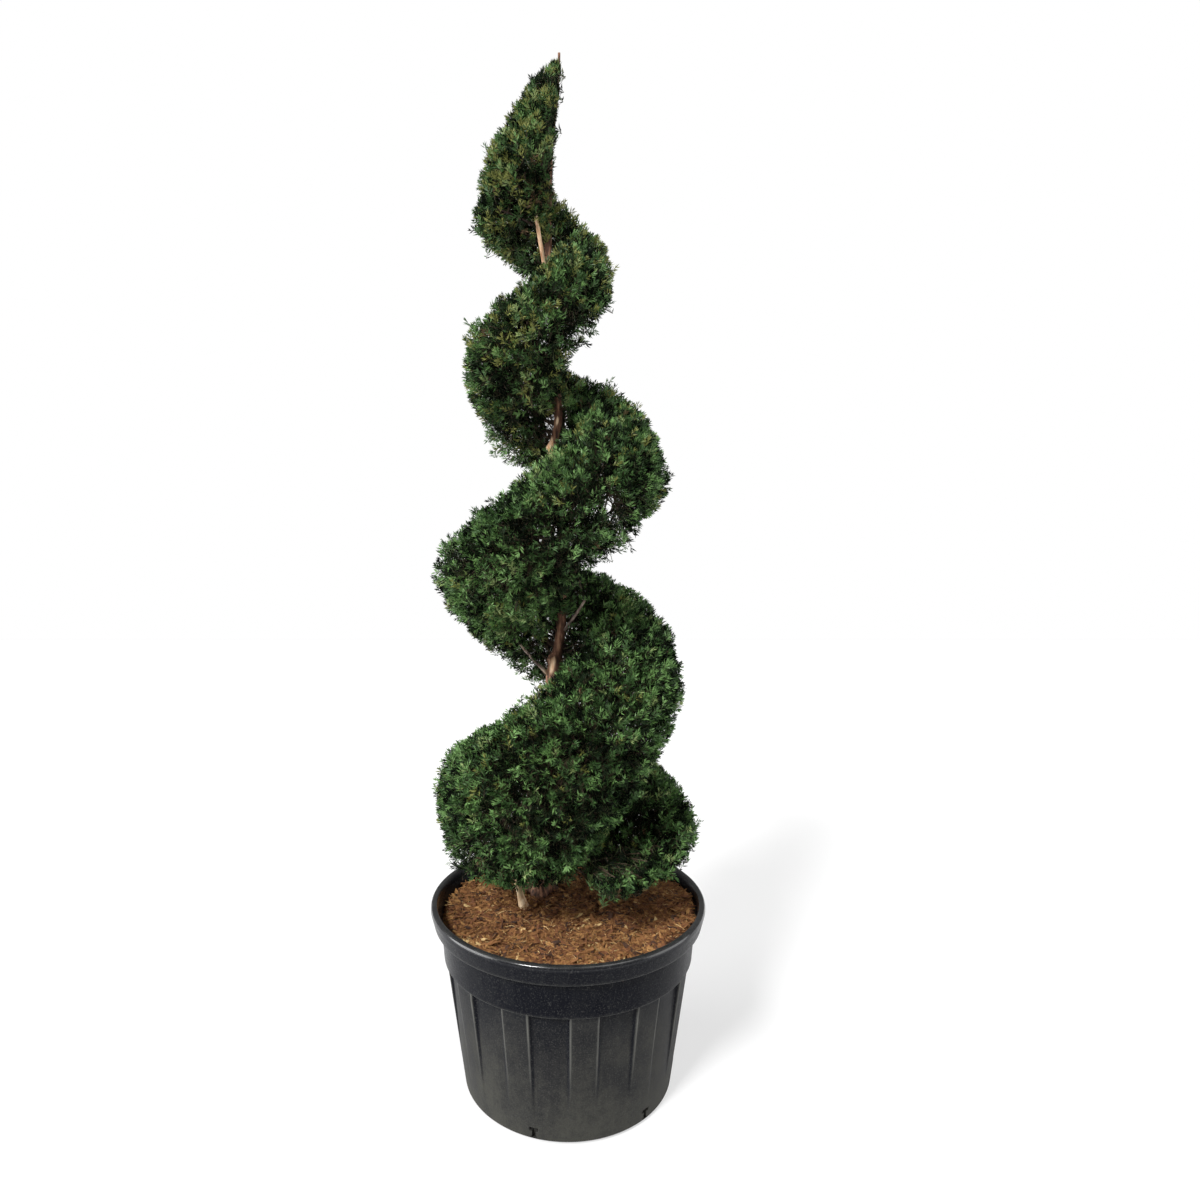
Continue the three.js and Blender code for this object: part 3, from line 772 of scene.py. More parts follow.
trunk_z, trunk_turn = np.meshgrid(
    TRUNK_LOW.z + (TRUNK_HIGH.z - TRUNK_LOW.z) * np.linspace(0, 1, TRUNK_RINGS) ** 1.08,
    np.linspace(0, 2 * np.pi, TRUNK_SIDES, endpoint=False),
    indexing="ij",
)
rise = trunk_z - TRUNK_LOW.z
toes = 1 + 0.35 * np.cos(4 * trunk_turn + 0.6) + 0.15 * np.cos(7 * trunk_turn + 2)
girth = trunk_radius(trunk_z) + FLARE * np.exp(-rise / FLARE_HEIGHT) * toes
for knot_z, knot_turn, knot_size in KNOTS:
    near_knot = np.exp(-(((trunk_z - knot_z) / (1.6 * knot_size)) ** 2))
    girth = girth + knot_size * near_knot * np.clip(np.cos(trunk_turn - knot_turn), 0, 1) ** 2
outward = np.stack([np.cos(trunk_turn), np.sin(trunk_turn), np.zeros_like(trunk_turn)], -1)
smooth_bark = trunk_middle(trunk_z) + outward * girth[..., None]
peel = np.zeros_like(girth)
for peel_z, peel_turn, peel_size, peel_width in PEELED:
    round_off = np.abs((trunk_turn - peel_turn + np.pi) % (2 * np.pi) - np.pi) / peel_width
    peel = np.maximum(peel, 1.3 - np.hypot((trunk_z - peel_z) / peel_size, round_off))
peel = np.clip(peel * 2.4 + 1.0 * lumps(smooth_bark * np.array([1, 1, 0.3]), 0.010, 31) - 0.9, 0, 1)
relief = bark_relief(smooth_bark, girth) * (1 - 0.6 * peel) - 0.05 * girth * peel
trunk_points = smooth_bark + outward * relief[..., None]
first_ring = np.arange(TRUNK_SIDES)[None]
trunk_faces = [
    grid_faces(TRUNK_RINGS, TRUNK_SIDES),
    first_ring[:, ::-1],
    first_ring + (TRUNK_RINGS - 1) * TRUNK_SIDES,
]
trunk = mesh_piece("trunk_bark", trunk_points, trunk_faces, [bark], smooth=True)
mark_peel(trunk, peel)
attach(trunk, "root")
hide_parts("trunk")

# ---------------------------------------------------------------------------------------------------
# Bare boughs and the low stub. The two limbs in the lowest gap carry thin grey bark, and the one in
# the top gap has lost its bark; the stub by the trunk's foot is weathered dead wood, wider where it
# enters the soil.
LIMBS = [  # piece, node, from, to, radii, foot spread, share peeled
    ("top_bough_bark", "bough_top", (-0.046, -0.004, 1.93), (-0.090, -0.050, 2.17), (0.0055, 0.0035), 0, 1.0),
    ("left_bough_bark", "bough_left", (-0.033, 0, 0.98), (-0.125, -0.035, 1.085), (0.0045, 0.0025), 0, 0.25),
    ("right_bough_bark", "bough_right", (-0.016, 0, 1.095), (0.040, -0.045, 1.18), (0.004, 0.003), 0, 0.3),
    ("stub_wood", "low_stub", (-0.106, -0.020, 0.412), (-0.146, 0.014, 0.545), (0.008, 0.006), 0.009, 1.0),
]
LIMB_STEPS, LIMB_SIDES = 60, 20
FOOT_LENGTH = 0.022  # of the stub's spread foot
GREY_BARK = [(0.36, (0.050, 0.036, 0.030)), (0.5, (0.170, 0.120, 0.095)), (0.64, (0.38, 0.30, 0.25))]
DEAD_WOOD = [(0.3, (0.22, 0.15, 0.08)), (0.55, (0.52, 0.38, 0.22)), (0.75, (0.74, 0.59, 0.38))]
grey_bark = bark_finish("grey_bark", GREY_BARK, 0.85)
dead_wood = bark_finish("dead_wood", DEAD_WOOD, 0.9)
for name, node, start, end, radii, foot, peeled in LIMBS:
    start, end = np.array([start]), np.array([end])
    length = np.linalg.norm(end - start)
    sag = np.array([0, 0, -0.06 * length])
    path = arcs(start, (start + end) / 2 + sag, end, LIMB_STEPS)
    along_limb = np.linspace(0, 1, LIMB_STEPS)[None]
    radius = radii[0] + (radii[1] - radii[0]) * along_limb
    radius = radius + foot * np.exp(-along_limb * length / FOOT_LENGTH)
    points, faces = tubes(path, radius, LIMB_SIDES)
    outward = unit(points - np.repeat(path[0], LIMB_SIDES, axis=0))
    girth = np.repeat(radius[0], LIMB_SIDES)
    points = points + outward * bark_relief(points, girth)[:, None]
    finish = {"low_stub": dead_wood, "bough_top": bark}.get(node, grey_bark)
    limb = mesh_piece(name, points, faces, [finish], smooth=True)
    mark_peel(limb, np.clip(peeled + 0.8 * lumps(points, 0.02, 41) - 0.35, 0, 1))
    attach(limb, "root")
    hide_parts(node)

# ---------------------------------------------------------------------------------------------------
# Crown. The spiral of clipped yew: boughs leave the trunk along the turning band, each forks into
# side branches that fan out to the clipped face, and each of those ends in leafy shoots.
LOBES = [  # turn, middle, reach, rise, depth, squareness
    (-0.20, 0.548, 0.285, 0.014, 0.030, 2.4),
    (0.00, 0.615, 0.320, 0.172, 0.100, 2.3),
    (0.50, 0.678, 0.321, 0.218, 0.195, 2.3),
    (0.68, 0.790, 0.309, 0.205, 0.348, 2.3),
    (0.75, 0.838, 0.306, 0.200, 0.325, 2.3),
    (1.00, 1.000, 0.296, 0.198, 0.182, 2.4),
    (1.50, 1.227, 0.292, 0.185, 0.210, 1.9),
    (2.00, 1.510, 0.266, 0.182, 0.158, 2.4),
    (2.50, 1.730, 0.219, 0.153, 0.203, 1.9),
    (3.00, 1.940, 0.148, 0.148, 0.102, 2.5),
    (3.25, 2.020, 0.165, 0.185, 0.097, 2.0),
    (3.50, 2.100, 0.190, 0.322, 0.092, 1.55),
    (3.75, 2.220, 0.095, 0.225, 0.115, 1.6),
]
SPIRAL_AXIS = [  # height, x of the spiral's middle
    (0.40, -0.005),
    (0.60, -0.005),
    (1.00, -0.012),
    (1.25, -0.016),
    (1.50, -0.027),
    (1.72, -0.034),
    (2.00, -0.043),
    (2.15, -0.043),
    (2.48, -0.022),
]
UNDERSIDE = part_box("foliage_1_back_left")[0].z
FIRST_TURN, LAST_TURN = LOBES[0][0], LOBES[-1][0]
SWELL = 0.008
FACE_SHOOTS = 27000
TURN_LINES, LIFT_LINES = 1200, 90  # of the net on the face that the shoots are spread over
OPEN_STRETCHES = [(0.95, 1.14), (1.50, 1.64), (1.96, 2.06)]  # heights at which the trunk shows
OPEN_SHARE = 0.10  # of the shoots that grow there close to the trunk
OPEN_NEAR, OPEN_FAR = 0.014, 0.034  # distances from its axis where they start to fill in, and are full
FLAT_SHARE = 0.75  # of the shoots on the flat underside
TOP_EXTRA = 0.35  # how much denser the narrow top is
BOUGH_SPACING, BRANCH_SPACING = 0.050, 0.055
CLUMP_DENT = 0.016  # how far the face is dented between two clumps
DEEP_SHARE, DEEP_REACH = 0.30, (0.014, 0.060)  # shoots that end inside the band, and how far in
TAIL_RISE = 0.020  # how much higher the underside of the tail is clipped


def clipped_face(turn, lift):
    """Point of the clipped face at a turn of the spiral and a lift angle round its section, -90
    degrees below to 90 above: half a superellipse on the spiral's axis, cut flat underneath, with
    low bumps from sines of both."""
    middle, reach, rise, depth, square = np.moveaxis(eased_rows(LOBES, turn), -1, 0)
    up = np.sign(np.sin(lift)) * np.abs(np.sin(lift)) ** (2 / square)
    out = np.abs(np.cos(lift)) ** (2 / square)
    slow = np.sin(2 * np.pi * 2.7 * turn + 1.1) * np.cos(2 * lift)
    quick = np.sin(2 * np.pi * 5.3 * turn + 2.4 * lift)
    z = np.maximum(middle + up * np.where(up > 0, rise, depth), UNDERSIDE)
    r = np.maximum(reach * out + SWELL * (0.6 * slow + 0.5 * quick) * np.cos(lift), 0.003)
    angle = 2 * np.pi * turn
    axis = eased_rows(SPIRAL_AXIS, z)[..., 0]
    return np.stack([axis + r * np.cos(angle), r * np.sin(angle), z], -1)


def face_normal(turn, lift):
    """Direction out of the clipped face, from the points a little further along and round it."""
    along = clipped_face(turn + 0.004, lift) - clipped_face(turn - 0.004, lift)
    round_it = clipped_face(turn, lift + 0.03) - clipped_face(turn, lift - 0.03)
    return unit(np.cross(along, round_it))


# Tips of the shoots, spread over the face in step with its area, fewer in the shade by the trunk.
rng = np.random.default_rng(7)
turn_lines = np.linspace(FIRST_TURN, LAST_TURN, TURN_LINES)
lift_lines = np.linspace(-np.pi / 2, np.pi / 2, LIFT_LINES)
corners = clipped_face(*np.meshgrid(turn_lines, lift_lines, indexing="ij"))
area = np.linalg.norm(
    np.cross(corners[1:, :-1] - corners[:-1, :-1], corners[:-1, 1:] - corners[:-1, :-1]), axis=-1
)
cell_turn, cell_lift = np.meshgrid(turn_lines[:-1], lift_lines[:-1], indexing="ij")
cell_middle = corners[:-1, :-1]
off_axis = np.hypot(cell_middle[..., 0] - trunk_middle(cell_middle[..., 2])[..., 0], cell_middle[..., 1])
in_open = sum((cell_middle[..., 2] > low) & (cell_middle[..., 2] < high) for low, high in OPEN_STRETCHES)
filled = OPEN_SHARE + (1 - OPEN_SHARE) * eased_step(off_axis, OPEN_NEAR, OPEN_FAR)
weight = area * np.where(in_open > 0, filled, 1)
weight = weight * np.where(cell_middle[..., 2] < UNDERSIDE + 0.002, FLAT_SHARE, 1)
weight = weight * (1 + TOP_EXTRA * eased_step(cell_middle[..., 2], 1.90, 2.10))
running = np.cumsum(weight.ravel())
picks = (np.arange(FACE_SHOOTS) + rng.random(FACE_SHOOTS)) / FACE_SHOOTS * running[-1]
cell = np.minimum(np.searchsorted(running, picks), len(running) - 1)
turn = cell_turn.ravel()[cell] + rng.random(FACE_SHOOTS) * (turn_lines[1] - turn_lines[0])
lift = cell_lift.ravel()[cell] + rng.random(FACE_SHOOTS) * (lift_lines[1] - lift_lines[0])
face, outward = clipped_face(turn, lift), face_normal(turn, lift)
reach = eased_rows(LOBES, turn)[:, 1]
clump = lumps(face, 0.034, 61) + 0.5 * lumps(face, 0.015, 62)
inset = CLUMP_DENT * eased_step(-clump, -0.35, 0.55) + rng.exponential(0.0035, FACE_SHOOTS)
deep = rng.random(FACE_SHOOTS) < DEEP_SHARE
inset = np.where(deep, rng.uniform(*DEEP_REACH, FACE_SHOOTS), inset)
inset = np.minimum(inset, 0.3 * reach)
tip = face - outward * (inset + 0.001)[:, None]
under = eased_step(-outward[:, 2], 0.55, 0.95)
tip[:, 2] = tip[:, 2] + TAIL_RISE * under * eased_step(-turn, 0.04, 0.14)
tip[:, 2] = np.maximum(tip[:, 2], UNDERSIDE + 0.012)

# Boughs: one for each stretch of the spiral, from the trunk up and out into the band.
BOUGH_STEPS = 9
BOUGH_REACH, BOUGH_RISE = 0.72, 0.30  # shares of the band's reach that a bough goes out and up
BOUGH_SAG, BOUGH_WANDER = 0.025, 0.012
BOUGH_THIN, BOUGH_GAIN, BOUGH_TAPER = 0.0022, 0.010, 0.4  # radius, its gain with reach, its taper
line_reach = eased_rows(LOBES, turn_lines)[:-1, 1]
arc_length = np.concatenate([[0], np.cumsum(2 * np.pi * line_reach * np.diff(turn_lines))])
BOUGHS = int(arc_length[-1] / BOUGH_SPACING)
bough_turn = np.interp((np.arange(BOUGHS) + 0.5) / BOUGHS * arc_length[-1], arc_length, turn_lines)
lobe = eased_rows(LOBES, bough_turn)
high_low = np.sin(np.arange(BOUGHS) * 2.4)
slight = np.minimum(lobe[:, 2:3] / 0.15, 1)
mid_z = np.maximum(lobe[:, 0] + high_low * 0.22 * lobe[:, 3], UNDERSIDE + 0.015 + 0.020 * slight[:, 0])
foot_z = np.maximum(mid_z - BOUGH_RISE * lobe[:, 1], SOIL_LEVEL + 0.08)
bough_start = trunk_middle(foot_z)
heading = 2 * np.pi * bough_turn + rng.normal(0, 0.08, BOUGHS)
bough_out = np.stack([np.cos(heading), np.sin(heading), np.zeros(BOUGHS)], -1)
bough_end = np.stack([eased_rows(SPIRAL_AXIS, mid_z)[:, 0], np.zeros(BOUGHS), mid_z], -1)
bough_end = bough_end + bough_out * (BOUGH_REACH * lobe[:, 1:2] * slight)
bough_bend = (bough_start + bough_end) / 2 + np.array([0, 0, -BOUGH_SAG])
bough_bend = bough_bend + rng.normal(0, BOUGH_WANDER, (BOUGHS, 3))
bough_paths = arcs(bough_start, bough_bend, bough_end, BOUGH_STEPS)
bough_girth = BOUGH_THIN + BOUGH_GAIN * lobe[:, 1:2] * slight
bough_radii = bough_girth * np.linspace(1, BOUGH_TAPER, BOUGH_STEPS)

# Side branches: the tips above one stretch of bough and one slice of the section share a branch.
BRANCH_STEPS = 5
BRANCH_FOOT, BRANCH_TIP = 0.0021, 0.0011  # radii
bough_of = np.interp(turn, turn_lines, arc_length) / arc_length[-1] * BOUGHS
bough_of = np.clip(bough_of, 0, BOUGHS - 1).astype(int)
girdle = np.pi * np.sqrt((lobe[:, 1] ** 2 + ((lobe[:, 2] + lobe[:, 3]) / 2) ** 2) / 2)
slices = np.maximum((girdle / BRANCH_SPACING).astype(int), 5)
slice_of = np.minimum((lift / np.pi + 0.5) * slices[bough_of], slices[bough_of] - 1).astype(int)
branch_key, branch_of = np.unique(bough_of * 100 + slice_of, return_inverse=True)
BRANCHES = len(branch_key)
NEAR_TRUNK = 0.09  # tips nearer than this are fed from the trunk itself
members = np.bincount(branch_of, minlength=BRANCHES)[:, None]
gather = lambda values: np.stack([np.bincount(branch_of, v, BRANCHES) for v in values.T], -1) / members
branch_tip, branch_outward = gather(tip), unit(gather(outward))
branch_lift = gather(lift[:, None])[:, 0]
owner = branch_key // 100
fork = 0.12 + 0.83 * np.clip(np.cos(branch_lift), 0, 1) ** 0.9 + rng.normal(0, 0.03, BRANCHES)
fork = np.clip(fork, 0.08, 0.98) * (BOUGH_STEPS - 1)
low_step = np.floor(fork).astype(int)
part = (fork - low_step)[:, None]
branch_start = bough_paths[owner, low_step] * (1 - part) + bough_paths[owner, low_step + 1] * part
foot_z = np.clip(branch_tip[:, 2] - 0.05, UNDERSIDE, TRUNK_HIGH.z - 0.06)
foot = trunk_middle(foot_z)
near = np.hypot(*(branch_tip - foot)[:, :2].T) < NEAR_TRUNK
branch_start = np.where(near[:, None], foot, branch_start)
back_off = np.minimum(0.062, 0.42 * np.linalg.norm(branch_tip - branch_start, axis=1))
back_off = np.minimum(back_off, 0.3 * (lobe[:, 2] + lobe[:, 3])[owner])[:, None]
branch_end = branch_tip - branch_outward * back_off
branch_bend = (branch_start + branch_end) / 2 + rng.normal(0, 0.009, (BRANCHES, 3))
branch_paths = arcs(branch_start, branch_bend, branch_end, BRANCH_STEPS)
branch_taper = np.linspace(BRANCH_FOOT, BRANCH_TIP, BRANCH_STEPS)
branch_radii = np.broadcast_to(branch_taper, (BRANCHES, BRANCH_STEPS))

# Shoots: each leaves its branch, turns to the light and ends at its tip in the clipped face. Some
# have grown ragged since the last clipping, and a few stray.
STRAY_SHARE = 0.03
spot = rng.uniform(0.35, 1.0, FACE_SHOOTS) * (BRANCH_STEPS - 1)
low_step = np.minimum(np.floor(spot).astype(int), BRANCH_STEPS - 2)
part = (spot - low_step)[:, None]
shoot_start = branch_paths[branch_of, low_step] * (1 - part) + branch_paths[branch_of, low_step + 1] * part
radial = unit(np.stack([np.cos(2 * np.pi * turn), np.sin(2 * np.pi * turn), np.zeros(FACE_SHOOTS)], -1))
ragged = eased_step(lumps(face, 0.10, 63) - 0.35 * np.sin(lift), 0.15, 0.70) * (1 - under)
tip = tip + outward * (ragged * rng.uniform(-0.004, 0.020, FACE_SHOOTS))[:, None]
stray = (rng.random(FACE_SHOOTS) < STRAY_SHARE) * (1 - under) * rng.uniform(0.004, 0.018, FACE_SHOOTS)
tip = tip + unit(outward + rng.normal(0, 0.4, (FACE_SHOOTS, 3))) * stray[:, None]

# Places where the clipped face is frayed: fewer shoots, some of them long, and sky between them.
FRAYED_LOSS, THIN_SHARE = 0.40, 0.15  # shoots lost where it is frayed, shoots left in a gap
FRAYED = [  # x, height, size
    (0.043, 1.800, 0.05),
    (-0.165, 1.542, 0.06),
    (-0.295, 1.285, 0.06),
    (0.137, 1.309, 0.05),
    (-0.120, 1.000, 0.06),
    (-0.250, 0.560, 0.06),
]
frayed = sum(np.exp(-((tip[:, 0] - x) ** 2 + (tip[:, 2] - z) ** 2) / size**2) for x, z, size in FRAYED)
tip = tip + outward * (frayed * rng.uniform(-0.016, 0.028, FACE_SHOOTS))[:, None]
shoot_length = rng.uniform(0.018, 0.032, FACE_SHOOTS)[:, None]
shoot_ahead = unit(
    0.75 * outward * (1 - 0.7 * under[:, None])
    + (0.2 + 0.6 * under[:, None]) * radial
    + 0.42 * np.array([0, 0, 1]) * (1 - under[:, None])
    + rng.normal(0, 0.36, (FACE_SHOOTS, 3))
)
shoot_elbow = tip - shoot_ahead * shoot_length

# Small shoots from old wood clothe the trunk where it runs close to the band, the top bough, and the
# left of the leader, where they spread wider downwards.
COVER = [  # from height, to height, shoots, farthest tip from the bark
    (0.600, 0.930, 120, 0.028),
    (1.155, 1.185, 50, 0.022),
    (1.215, 1.250, 40, 0.022),
    (1.660, 1.760, 110, 0.026),
    (2.050, 2.160, 110, 0.022),
    (2.160, 2.400, 240, 0.020),
    (2.330, 2.455, 260, 0.020),
]
cover_z = np.concatenate([rng.uniform(low, high, count) for low, high, count, _ in COVER])
cover_far = np.concatenate([np.full(count, far) for _, _, count, far in COVER])
COVERS = len(cover_z)
on_leader = cover_z > 2.05
left_side = np.where(cover_z > 2.30, rng.uniform(0.62, 1.42, COVERS), rng.uniform(0.45, 1.60, COVERS))
cover_angle = np.where(on_leader, left_side, rng.uniform(0, 2, COVERS)) * np.pi
cover_far = np.where(cover_z > 2.32, np.clip(1.30 * (2.462 - cover_z), 0.004, 0.075), cover_far)
cover_out = np.stack([np.cos(cover_angle), np.sin(cover_angle), np.zeros(COVERS)], -1)
cover_reach = trunk_radius(cover_z) + rng.random(COVERS) ** 0.7 * cover_far
cover_tip = trunk_middle(cover_z) + cover_out * cover_reach[:, None]
cover_ahead = unit(0.6 * cover_out + [0, 0, 0.9] + rng.normal(0, 0.28, (COVERS, 3)))
cover_elbow = cover_tip - cover_ahead * rng.uniform(0.016, 0.026, (COVERS, 1))
cover_start = trunk_middle(np.clip(cover_z - 0.02 - 0.3 * cover_reach, 0, TRUNK_HIGH.z))
BOUGH_COVERS = 80
share = rng.uniform(0.62, 1.0, (BOUGH_COVERS, 1))
bough_foot, bough_head = np.array(LIMBS[0][2]), np.array(LIMBS[0][3])
on_bough = bough_foot * (1 - share) + bough_head * share
aside = unit(rng.normal(0, 1, (BOUGH_COVERS, 3)) + [0, -0.9, 0.2])
clothed_tip = on_bough + aside * rng.uniform(0.008, 0.026, (BOUGH_COVERS, 1))
cover_start, cover_tip = np.concatenate([cover_start, on_bough]), np.concatenate([cover_tip, clothed_tip])
cover_elbow = np.concatenate([cover_elbow, on_bough + 0.15 * (clothed_tip - on_bough)])
cover_z = cover_tip[:, 2]

# Gaps where the sky shows through the band from the front.
THIN_PLACES = [  # x, height, size
    (-0.017, 1.660, 0.020),
    (0.108, 1.397, 0.040),
    (-0.066, 1.329, 0.022),
    (0.044, 1.258, 0.020),
    (0.017, 1.067, 0.020),
]
kept = rng.random(FACE_SHOOTS) > FRAYED_LOSS * frayed
for thin_x, thin_z, thin_size in THIN_PLACES:
    clear = np.hypot(tip[:, 0] - thin_x, tip[:, 2] - thin_z) > thin_size * rng.uniform(0.6, 1.2, FACE_SHOOTS)
    kept &= clear | (rng.random(FACE_SHOOTS) < THIN_SHARE)

TOP_MASSES = [
    "foliage_3_front_left",
    "foliage_3_front_right",
    "foliage_4_back_right",
    "foliage_4_back_left",
    "foliage_4_front_left",
]
CROWN_PARTS = [  # name of the stretch, its last turn, the masses it stands for
    ("first", 0.5, ["foliage_0_front_right", "foliage_1_back_right", "foliage_1_back_left"]),
    ("second", 1.0, ["foliage_1_front_left", "foliage_1_front_right"]),
    ("third", 1.75, ["foliage_2_back_right", "foliage_2_back_left", "foliage_2_front_left"]),
    ("fourth", 2.5, ["foliage_2_front_right", "foliage_3_back_right", "foliage_3_back_left"]),
    ("fifth", LAST_TURN + 1, TOP_MASSES),
]
whole = lambda shoots, covers: np.concatenate([shoots[kept], covers])
shoot_start, shoot_elbow = whole(shoot_start, cover_start), whole(shoot_elbow, cover_elbow)
inset, clump = whole(inset, 0.004 + 0 * cover_z), whole(clump, lumps(cover_tip, 0.034, 61))
lift, tip = whole(lift, 0 * cover_z), whole(tip, cover_tip)
turn = whole(turn, np.interp(cover_z, [row[1] for row in LOBES], [row[0] for row in LOBES]))
ALL_SHOOTS = len(tip)
part_of = np.searchsorted([last for _, last, _ in CROWN_PARTS], turn)

TWIG_RADIUS = 0.0011
YOUNG_TWIGS = 0.45  # share of the twigs that are still green
# The crown's boughs are a darker brown than the trunk's bark: painted shade for their place inside the band.
bough_painted_shade = plain_finish("bough_brown_painted_shade", (0.040, 0.022, 0.015), 0.85)
twig_tone = plain_finish("twig_brown", (0.055, 0.036, 0.019), 0.8)
twig_green = plain_finish("twig_green", (0.050, 0.070, 0.020), 0.7)
bough_mesh = tubes(bough_paths, bough_radii, 8)
crown_boughs = mesh_piece("crown_boughs", *bough_mesh, [bough_painted_shade], smooth=True)
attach(crown_boughs, "root")
branch_mesh = tubes(branch_paths, branch_radii, 5)
crown_branches = mesh_piece("crown_branches", *branch_mesh, [twig_tone], smooth=True)
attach(crown_branches, "root")


def twig_mesh(start, elbow, end):
    """Three-sided twigs: a ring of points at the start, one at the elbow, and a pointed end."""
    count = len(start)
    ahead = unit(end - elbow)
    first = unit(np.cross(ahead, rng.normal(0, 1, (count, 3))))
    second = np.cross(ahead, first)
    angle = np.arange(3) * 2 * np.pi / 3
    ring = first[:, None] * np.cos(angle)[:, None] + second[:, None] * np.sin(angle)[:, None]
    foot, knee = start[:, None] + TWIG_RADIUS * ring, elbow[:, None] + 0.75 * TWIG_RADIUS * ring
    points = np.concatenate([foot, knee, end[:, None]], 1)
    own = 7 * np.arange(count)[:, None, None]
    sides = np.array([[0, 1, 4, 3], [1, 2, 5, 4], [2, 0, 3, 5]]) + own
    ends = np.array([[3, 4, 6], [4, 5, 6], [5, 3, 6], [2, 1, 0]]) + own
    return points.reshape(-1, 3), [sides.reshape(-1, 4), ends.reshape(-1, 3)]


for name, chosen in (("lower", part_of < 2), ("upper", part_of >= 2)):
    points, faces = twig_mesh(shoot_start[chosen], shoot_elbow[chosen], tip[chosen])
    young = rng.random(np.count_nonzero(chosen)) < YOUNG_TWIGS
    tones = np.concatenate([np.repeat(young, 3), np.repeat(young, 4)])
    twigs = mesh_piece("twigs_" + name, points, faces, [twig_tone, twig_green], tones)
    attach(twigs, "root")

# ---------------------------------------------------------------------------------------------------
# Needles. Flat pointed leaves in two loose ranks along each shoot, folded along the midrib. A
# shoot's needles share one tone, dealt by a score of painted light and shade with random tone on
# top: olive, fresh green and pale as painted light outside and above, dark green and black-green as
# painted shade inside and underneath, a few dry and brown, most of them by the top bough.
NEEDLES = 12
NEEDLE_LENGTH, NEEDLE_WIDTH = 0.0165, 0.0032
# The tones are partly the needles' own colours and partly painted light and shade: the darkest, with little
# gloss, is painted shade deep in the band, fresh and pale are painted light, olive takes some of the fresh
# shoots, more of them towards the top, and dry is their own colour.
NEEDLE_TONES = [  # name, colour, roughness, specular level
    ("needle_painted_shade", (0.0030, 0.0052, 0.0026), 0.7, 0.05),
    ("needle_dark", (0.0095, 0.0200, 0.0068), 0.55, 0.12),
    ("needle_green", (0.0460, 0.1000, 0.0290), 0.45, 0.25),
    ("needle_fresh", (0.1300, 0.2450, 0.0740), 0.42, 0.30),
    ("needle_olive", (0.1800, 0.1950, 0.0520), 0.45, 0.25),
    ("needle_pale", (0.2350, 0.3100, 0.1150), 0.45, 0.30),
    ("needle_dry", (0.1200, 0.0780, 0.0440), 0.7, 0.10),
]
FRESH, OLIVE, PALE, DRY = 3, 4, 5, 6  # rows of the table
TONE_STEPS = [-0.42, -0.02, 0.46, 1.30]  # of light, between shade, dark, green, fresh and pale
needle_finishes = []
for name, colour, roughness, gloss in NEEDLE_TONES:
    needle_finishes.append(plain_finish(name, colour, roughness, Specular_IOR_Level=gloss))

# Each shoot's score of painted light and shade: lighter on the band's upper side and on outstanding clumps,
# much darker the deeper its tip lies inside the band, with patches and random tone on top.
light = 0.38 * lumps(tip, 0.085, 51) + 0.40 * clump + 0.12 * np.sin(lift)
light = light + rng.normal(0, 0.52, ALL_SHOOTS) - 30 * np.clip(inset - 0.006, 0, 1) + 0.18
PAINTED_LIGHT_PATCHES = [  # x, height, size, and how much lighter (painted light) or darker (painted shade) the tones are there
    (-0.135, 1.155, 0.06, 0.60),
    (-0.130, 2.170, 0.08, 0.20),
    (-0.155, 1.750, 0.08, 0.25),
    (0.105, 1.590, 0.05, -0.40),
    (0.125, 1.480, 0.06, -0.20),
    (0.045, 0.890, 0.07, -0.35),
    (0.035, 0.700, 0.07, -0.35),
]
for patch_x, patch_z, patch_size, brighter in PAINTED_LIGHT_PATCHES:
    away = (tip[:, 0] - patch_x) ** 2 + (tip[:, 2] - patch_z) ** 2
    light = light + brighter * np.exp(-away / patch_size**2)
shoot_tone = np.digitize(light, TONE_STEPS)
olive_share = 0.06 + 0.75 * eased_step(tip[:, 2], 1.3, 2.2) + 0.25 * lumps(tip, 0.11, 53)
olive = (shoot_tone == FRESH) & (rng.random(ALL_SHOOTS) < olive_share)
palest = shoot_tone == len(TONE_STEPS)
shoot_tone = np.where(palest, PALE, np.where(olive, OLIVE, shoot_tone))
DRY_PLACE, DRY_SIZE = np.array([-0.065, -0.03, 2.12]), np.array([0.03, 0.06, 0.07])
dry = 0.003 + 0.30 * np.exp(-(((tip - DRY_PLACE) / DRY_SIZE) ** 2).sum(-1))
shoot_tone = np.where(rng.random(ALL_SHOOTS) < dry, DRY, shoot_tone)


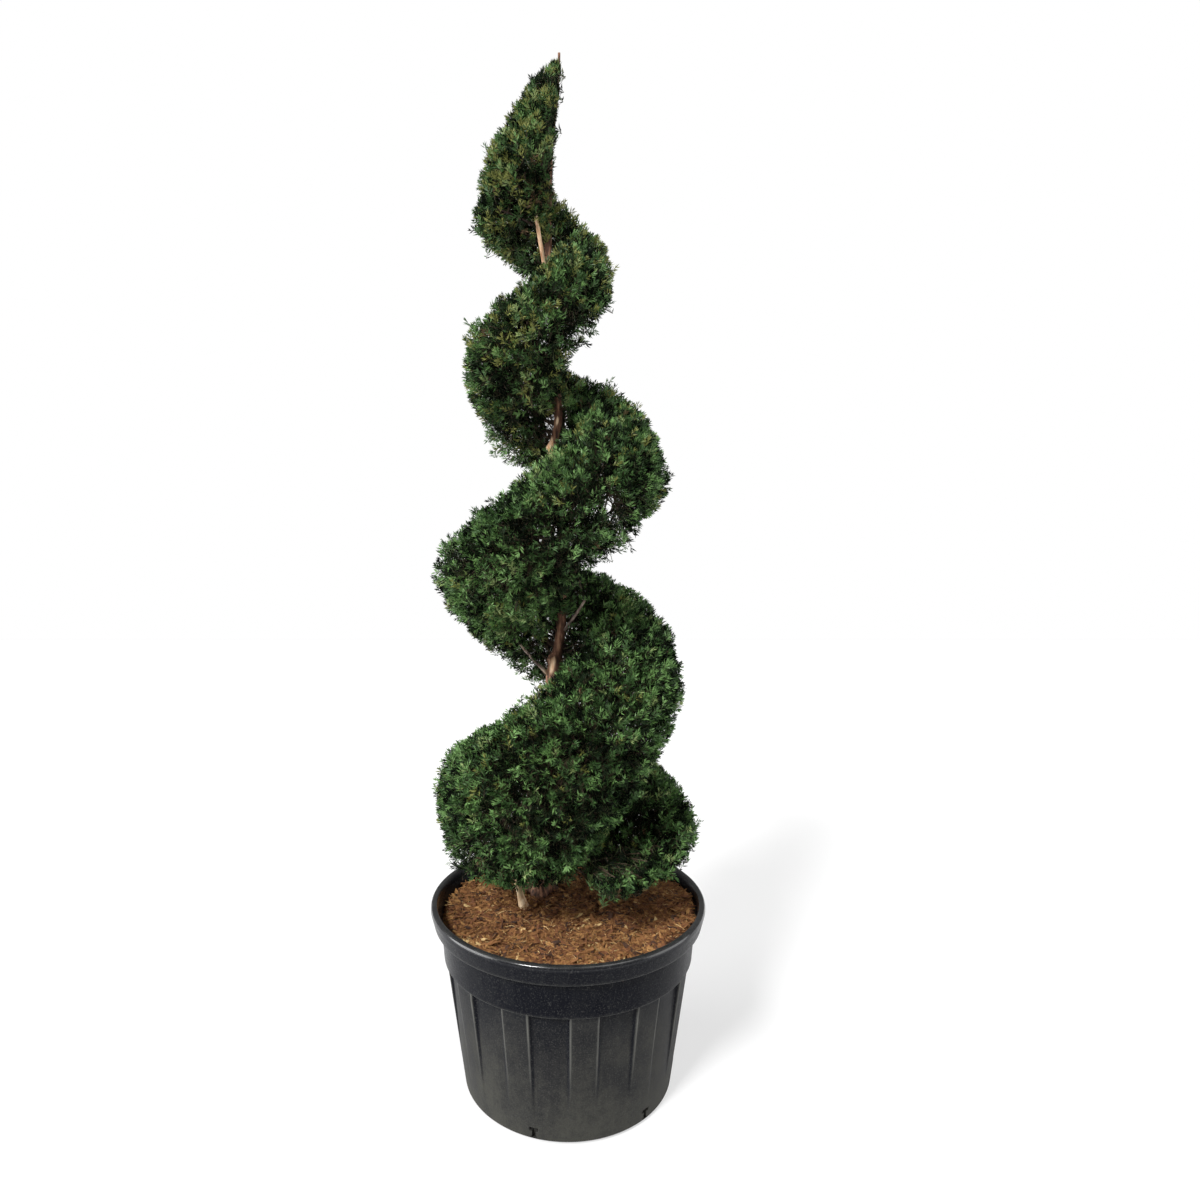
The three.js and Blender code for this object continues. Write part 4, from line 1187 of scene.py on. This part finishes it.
def needle_mesh(elbow, end, tone, rng):
    """Needles of some shoots: along each shoot they stand alternately left and right, more forward
    towards its end and longest in the middle, each a kite of two triangles folded on its midrib."""
    count = len(elbow)
    place = (np.arange(NEEDLES) + 0.6 + rng.uniform(-0.3, 0.3, (count, NEEDLES))) / NEEDLES
    ahead = unit(end - elbow)[:, None]
    base = elbow[:, None] + (end - elbow)[:, None] * place[..., None]
    flat_up = unit(np.array([0, 0, 1]) + rng.normal(0, 0.6, (count, 3)))[:, None]
    across = unit(np.cross(ahead, flat_up))
    roll = rng.normal(0, 0.9, (count, NEEDLES, 1)) + np.pi * (np.arange(NEEDLES) % 2)[None, :, None]
    raised = np.cross(across, ahead)
    sideways = across * np.cos(roll) + raised * np.sin(roll)
    spread = (0.95 - 0.70 * place**2 + rng.normal(0, 0.12, (count, NEEDLES)))[..., None]
    aim = unit(ahead * np.cos(spread) + sideways * np.sin(spread))
    length = NEEDLE_LENGTH * (0.62 + 0.5 * np.sin(np.pi * np.clip(place * 1.1, 0, 1)))[..., None]
    length = length * rng.uniform(0.75, 1.1, (count, NEEDLES, 1))
    twist = rng.normal(0, 0.6, (count, NEEDLES, 1))
    blade = unit(np.cross(aim, np.cross(ahead, sideways)))
    blade = unit(blade * np.cos(twist) + np.cross(aim, blade) * np.sin(twist))
    back = np.cross(blade, aim)
    middle = base + aim * length * 0.45 + back * 0.0006
    half = blade * NEEDLE_WIDTH / 2
    points = np.stack([base, middle - half, base + aim * length, middle + half], 2)
    corner = 4 * np.arange(count * NEEDLES)[:, None]
    faces = np.stack([corner + [0, 1, 2], corner + [0, 2, 3]], 1).reshape(-1, 3)
    return points.reshape(-1, 3), [faces], np.repeat(tone, 2 * NEEDLES)


for number, (name, _, nodes) in enumerate(CROWN_PARTS):
    chosen = part_of == number
    points, faces, tones = needle_mesh(shoot_elbow[chosen], tip[chosen], shoot_tone[chosen], rng)
    needles = mesh_piece("needles_" + name, points, faces, needle_finishes, tones)
    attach(needles, "root")
    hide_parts(*nodes)
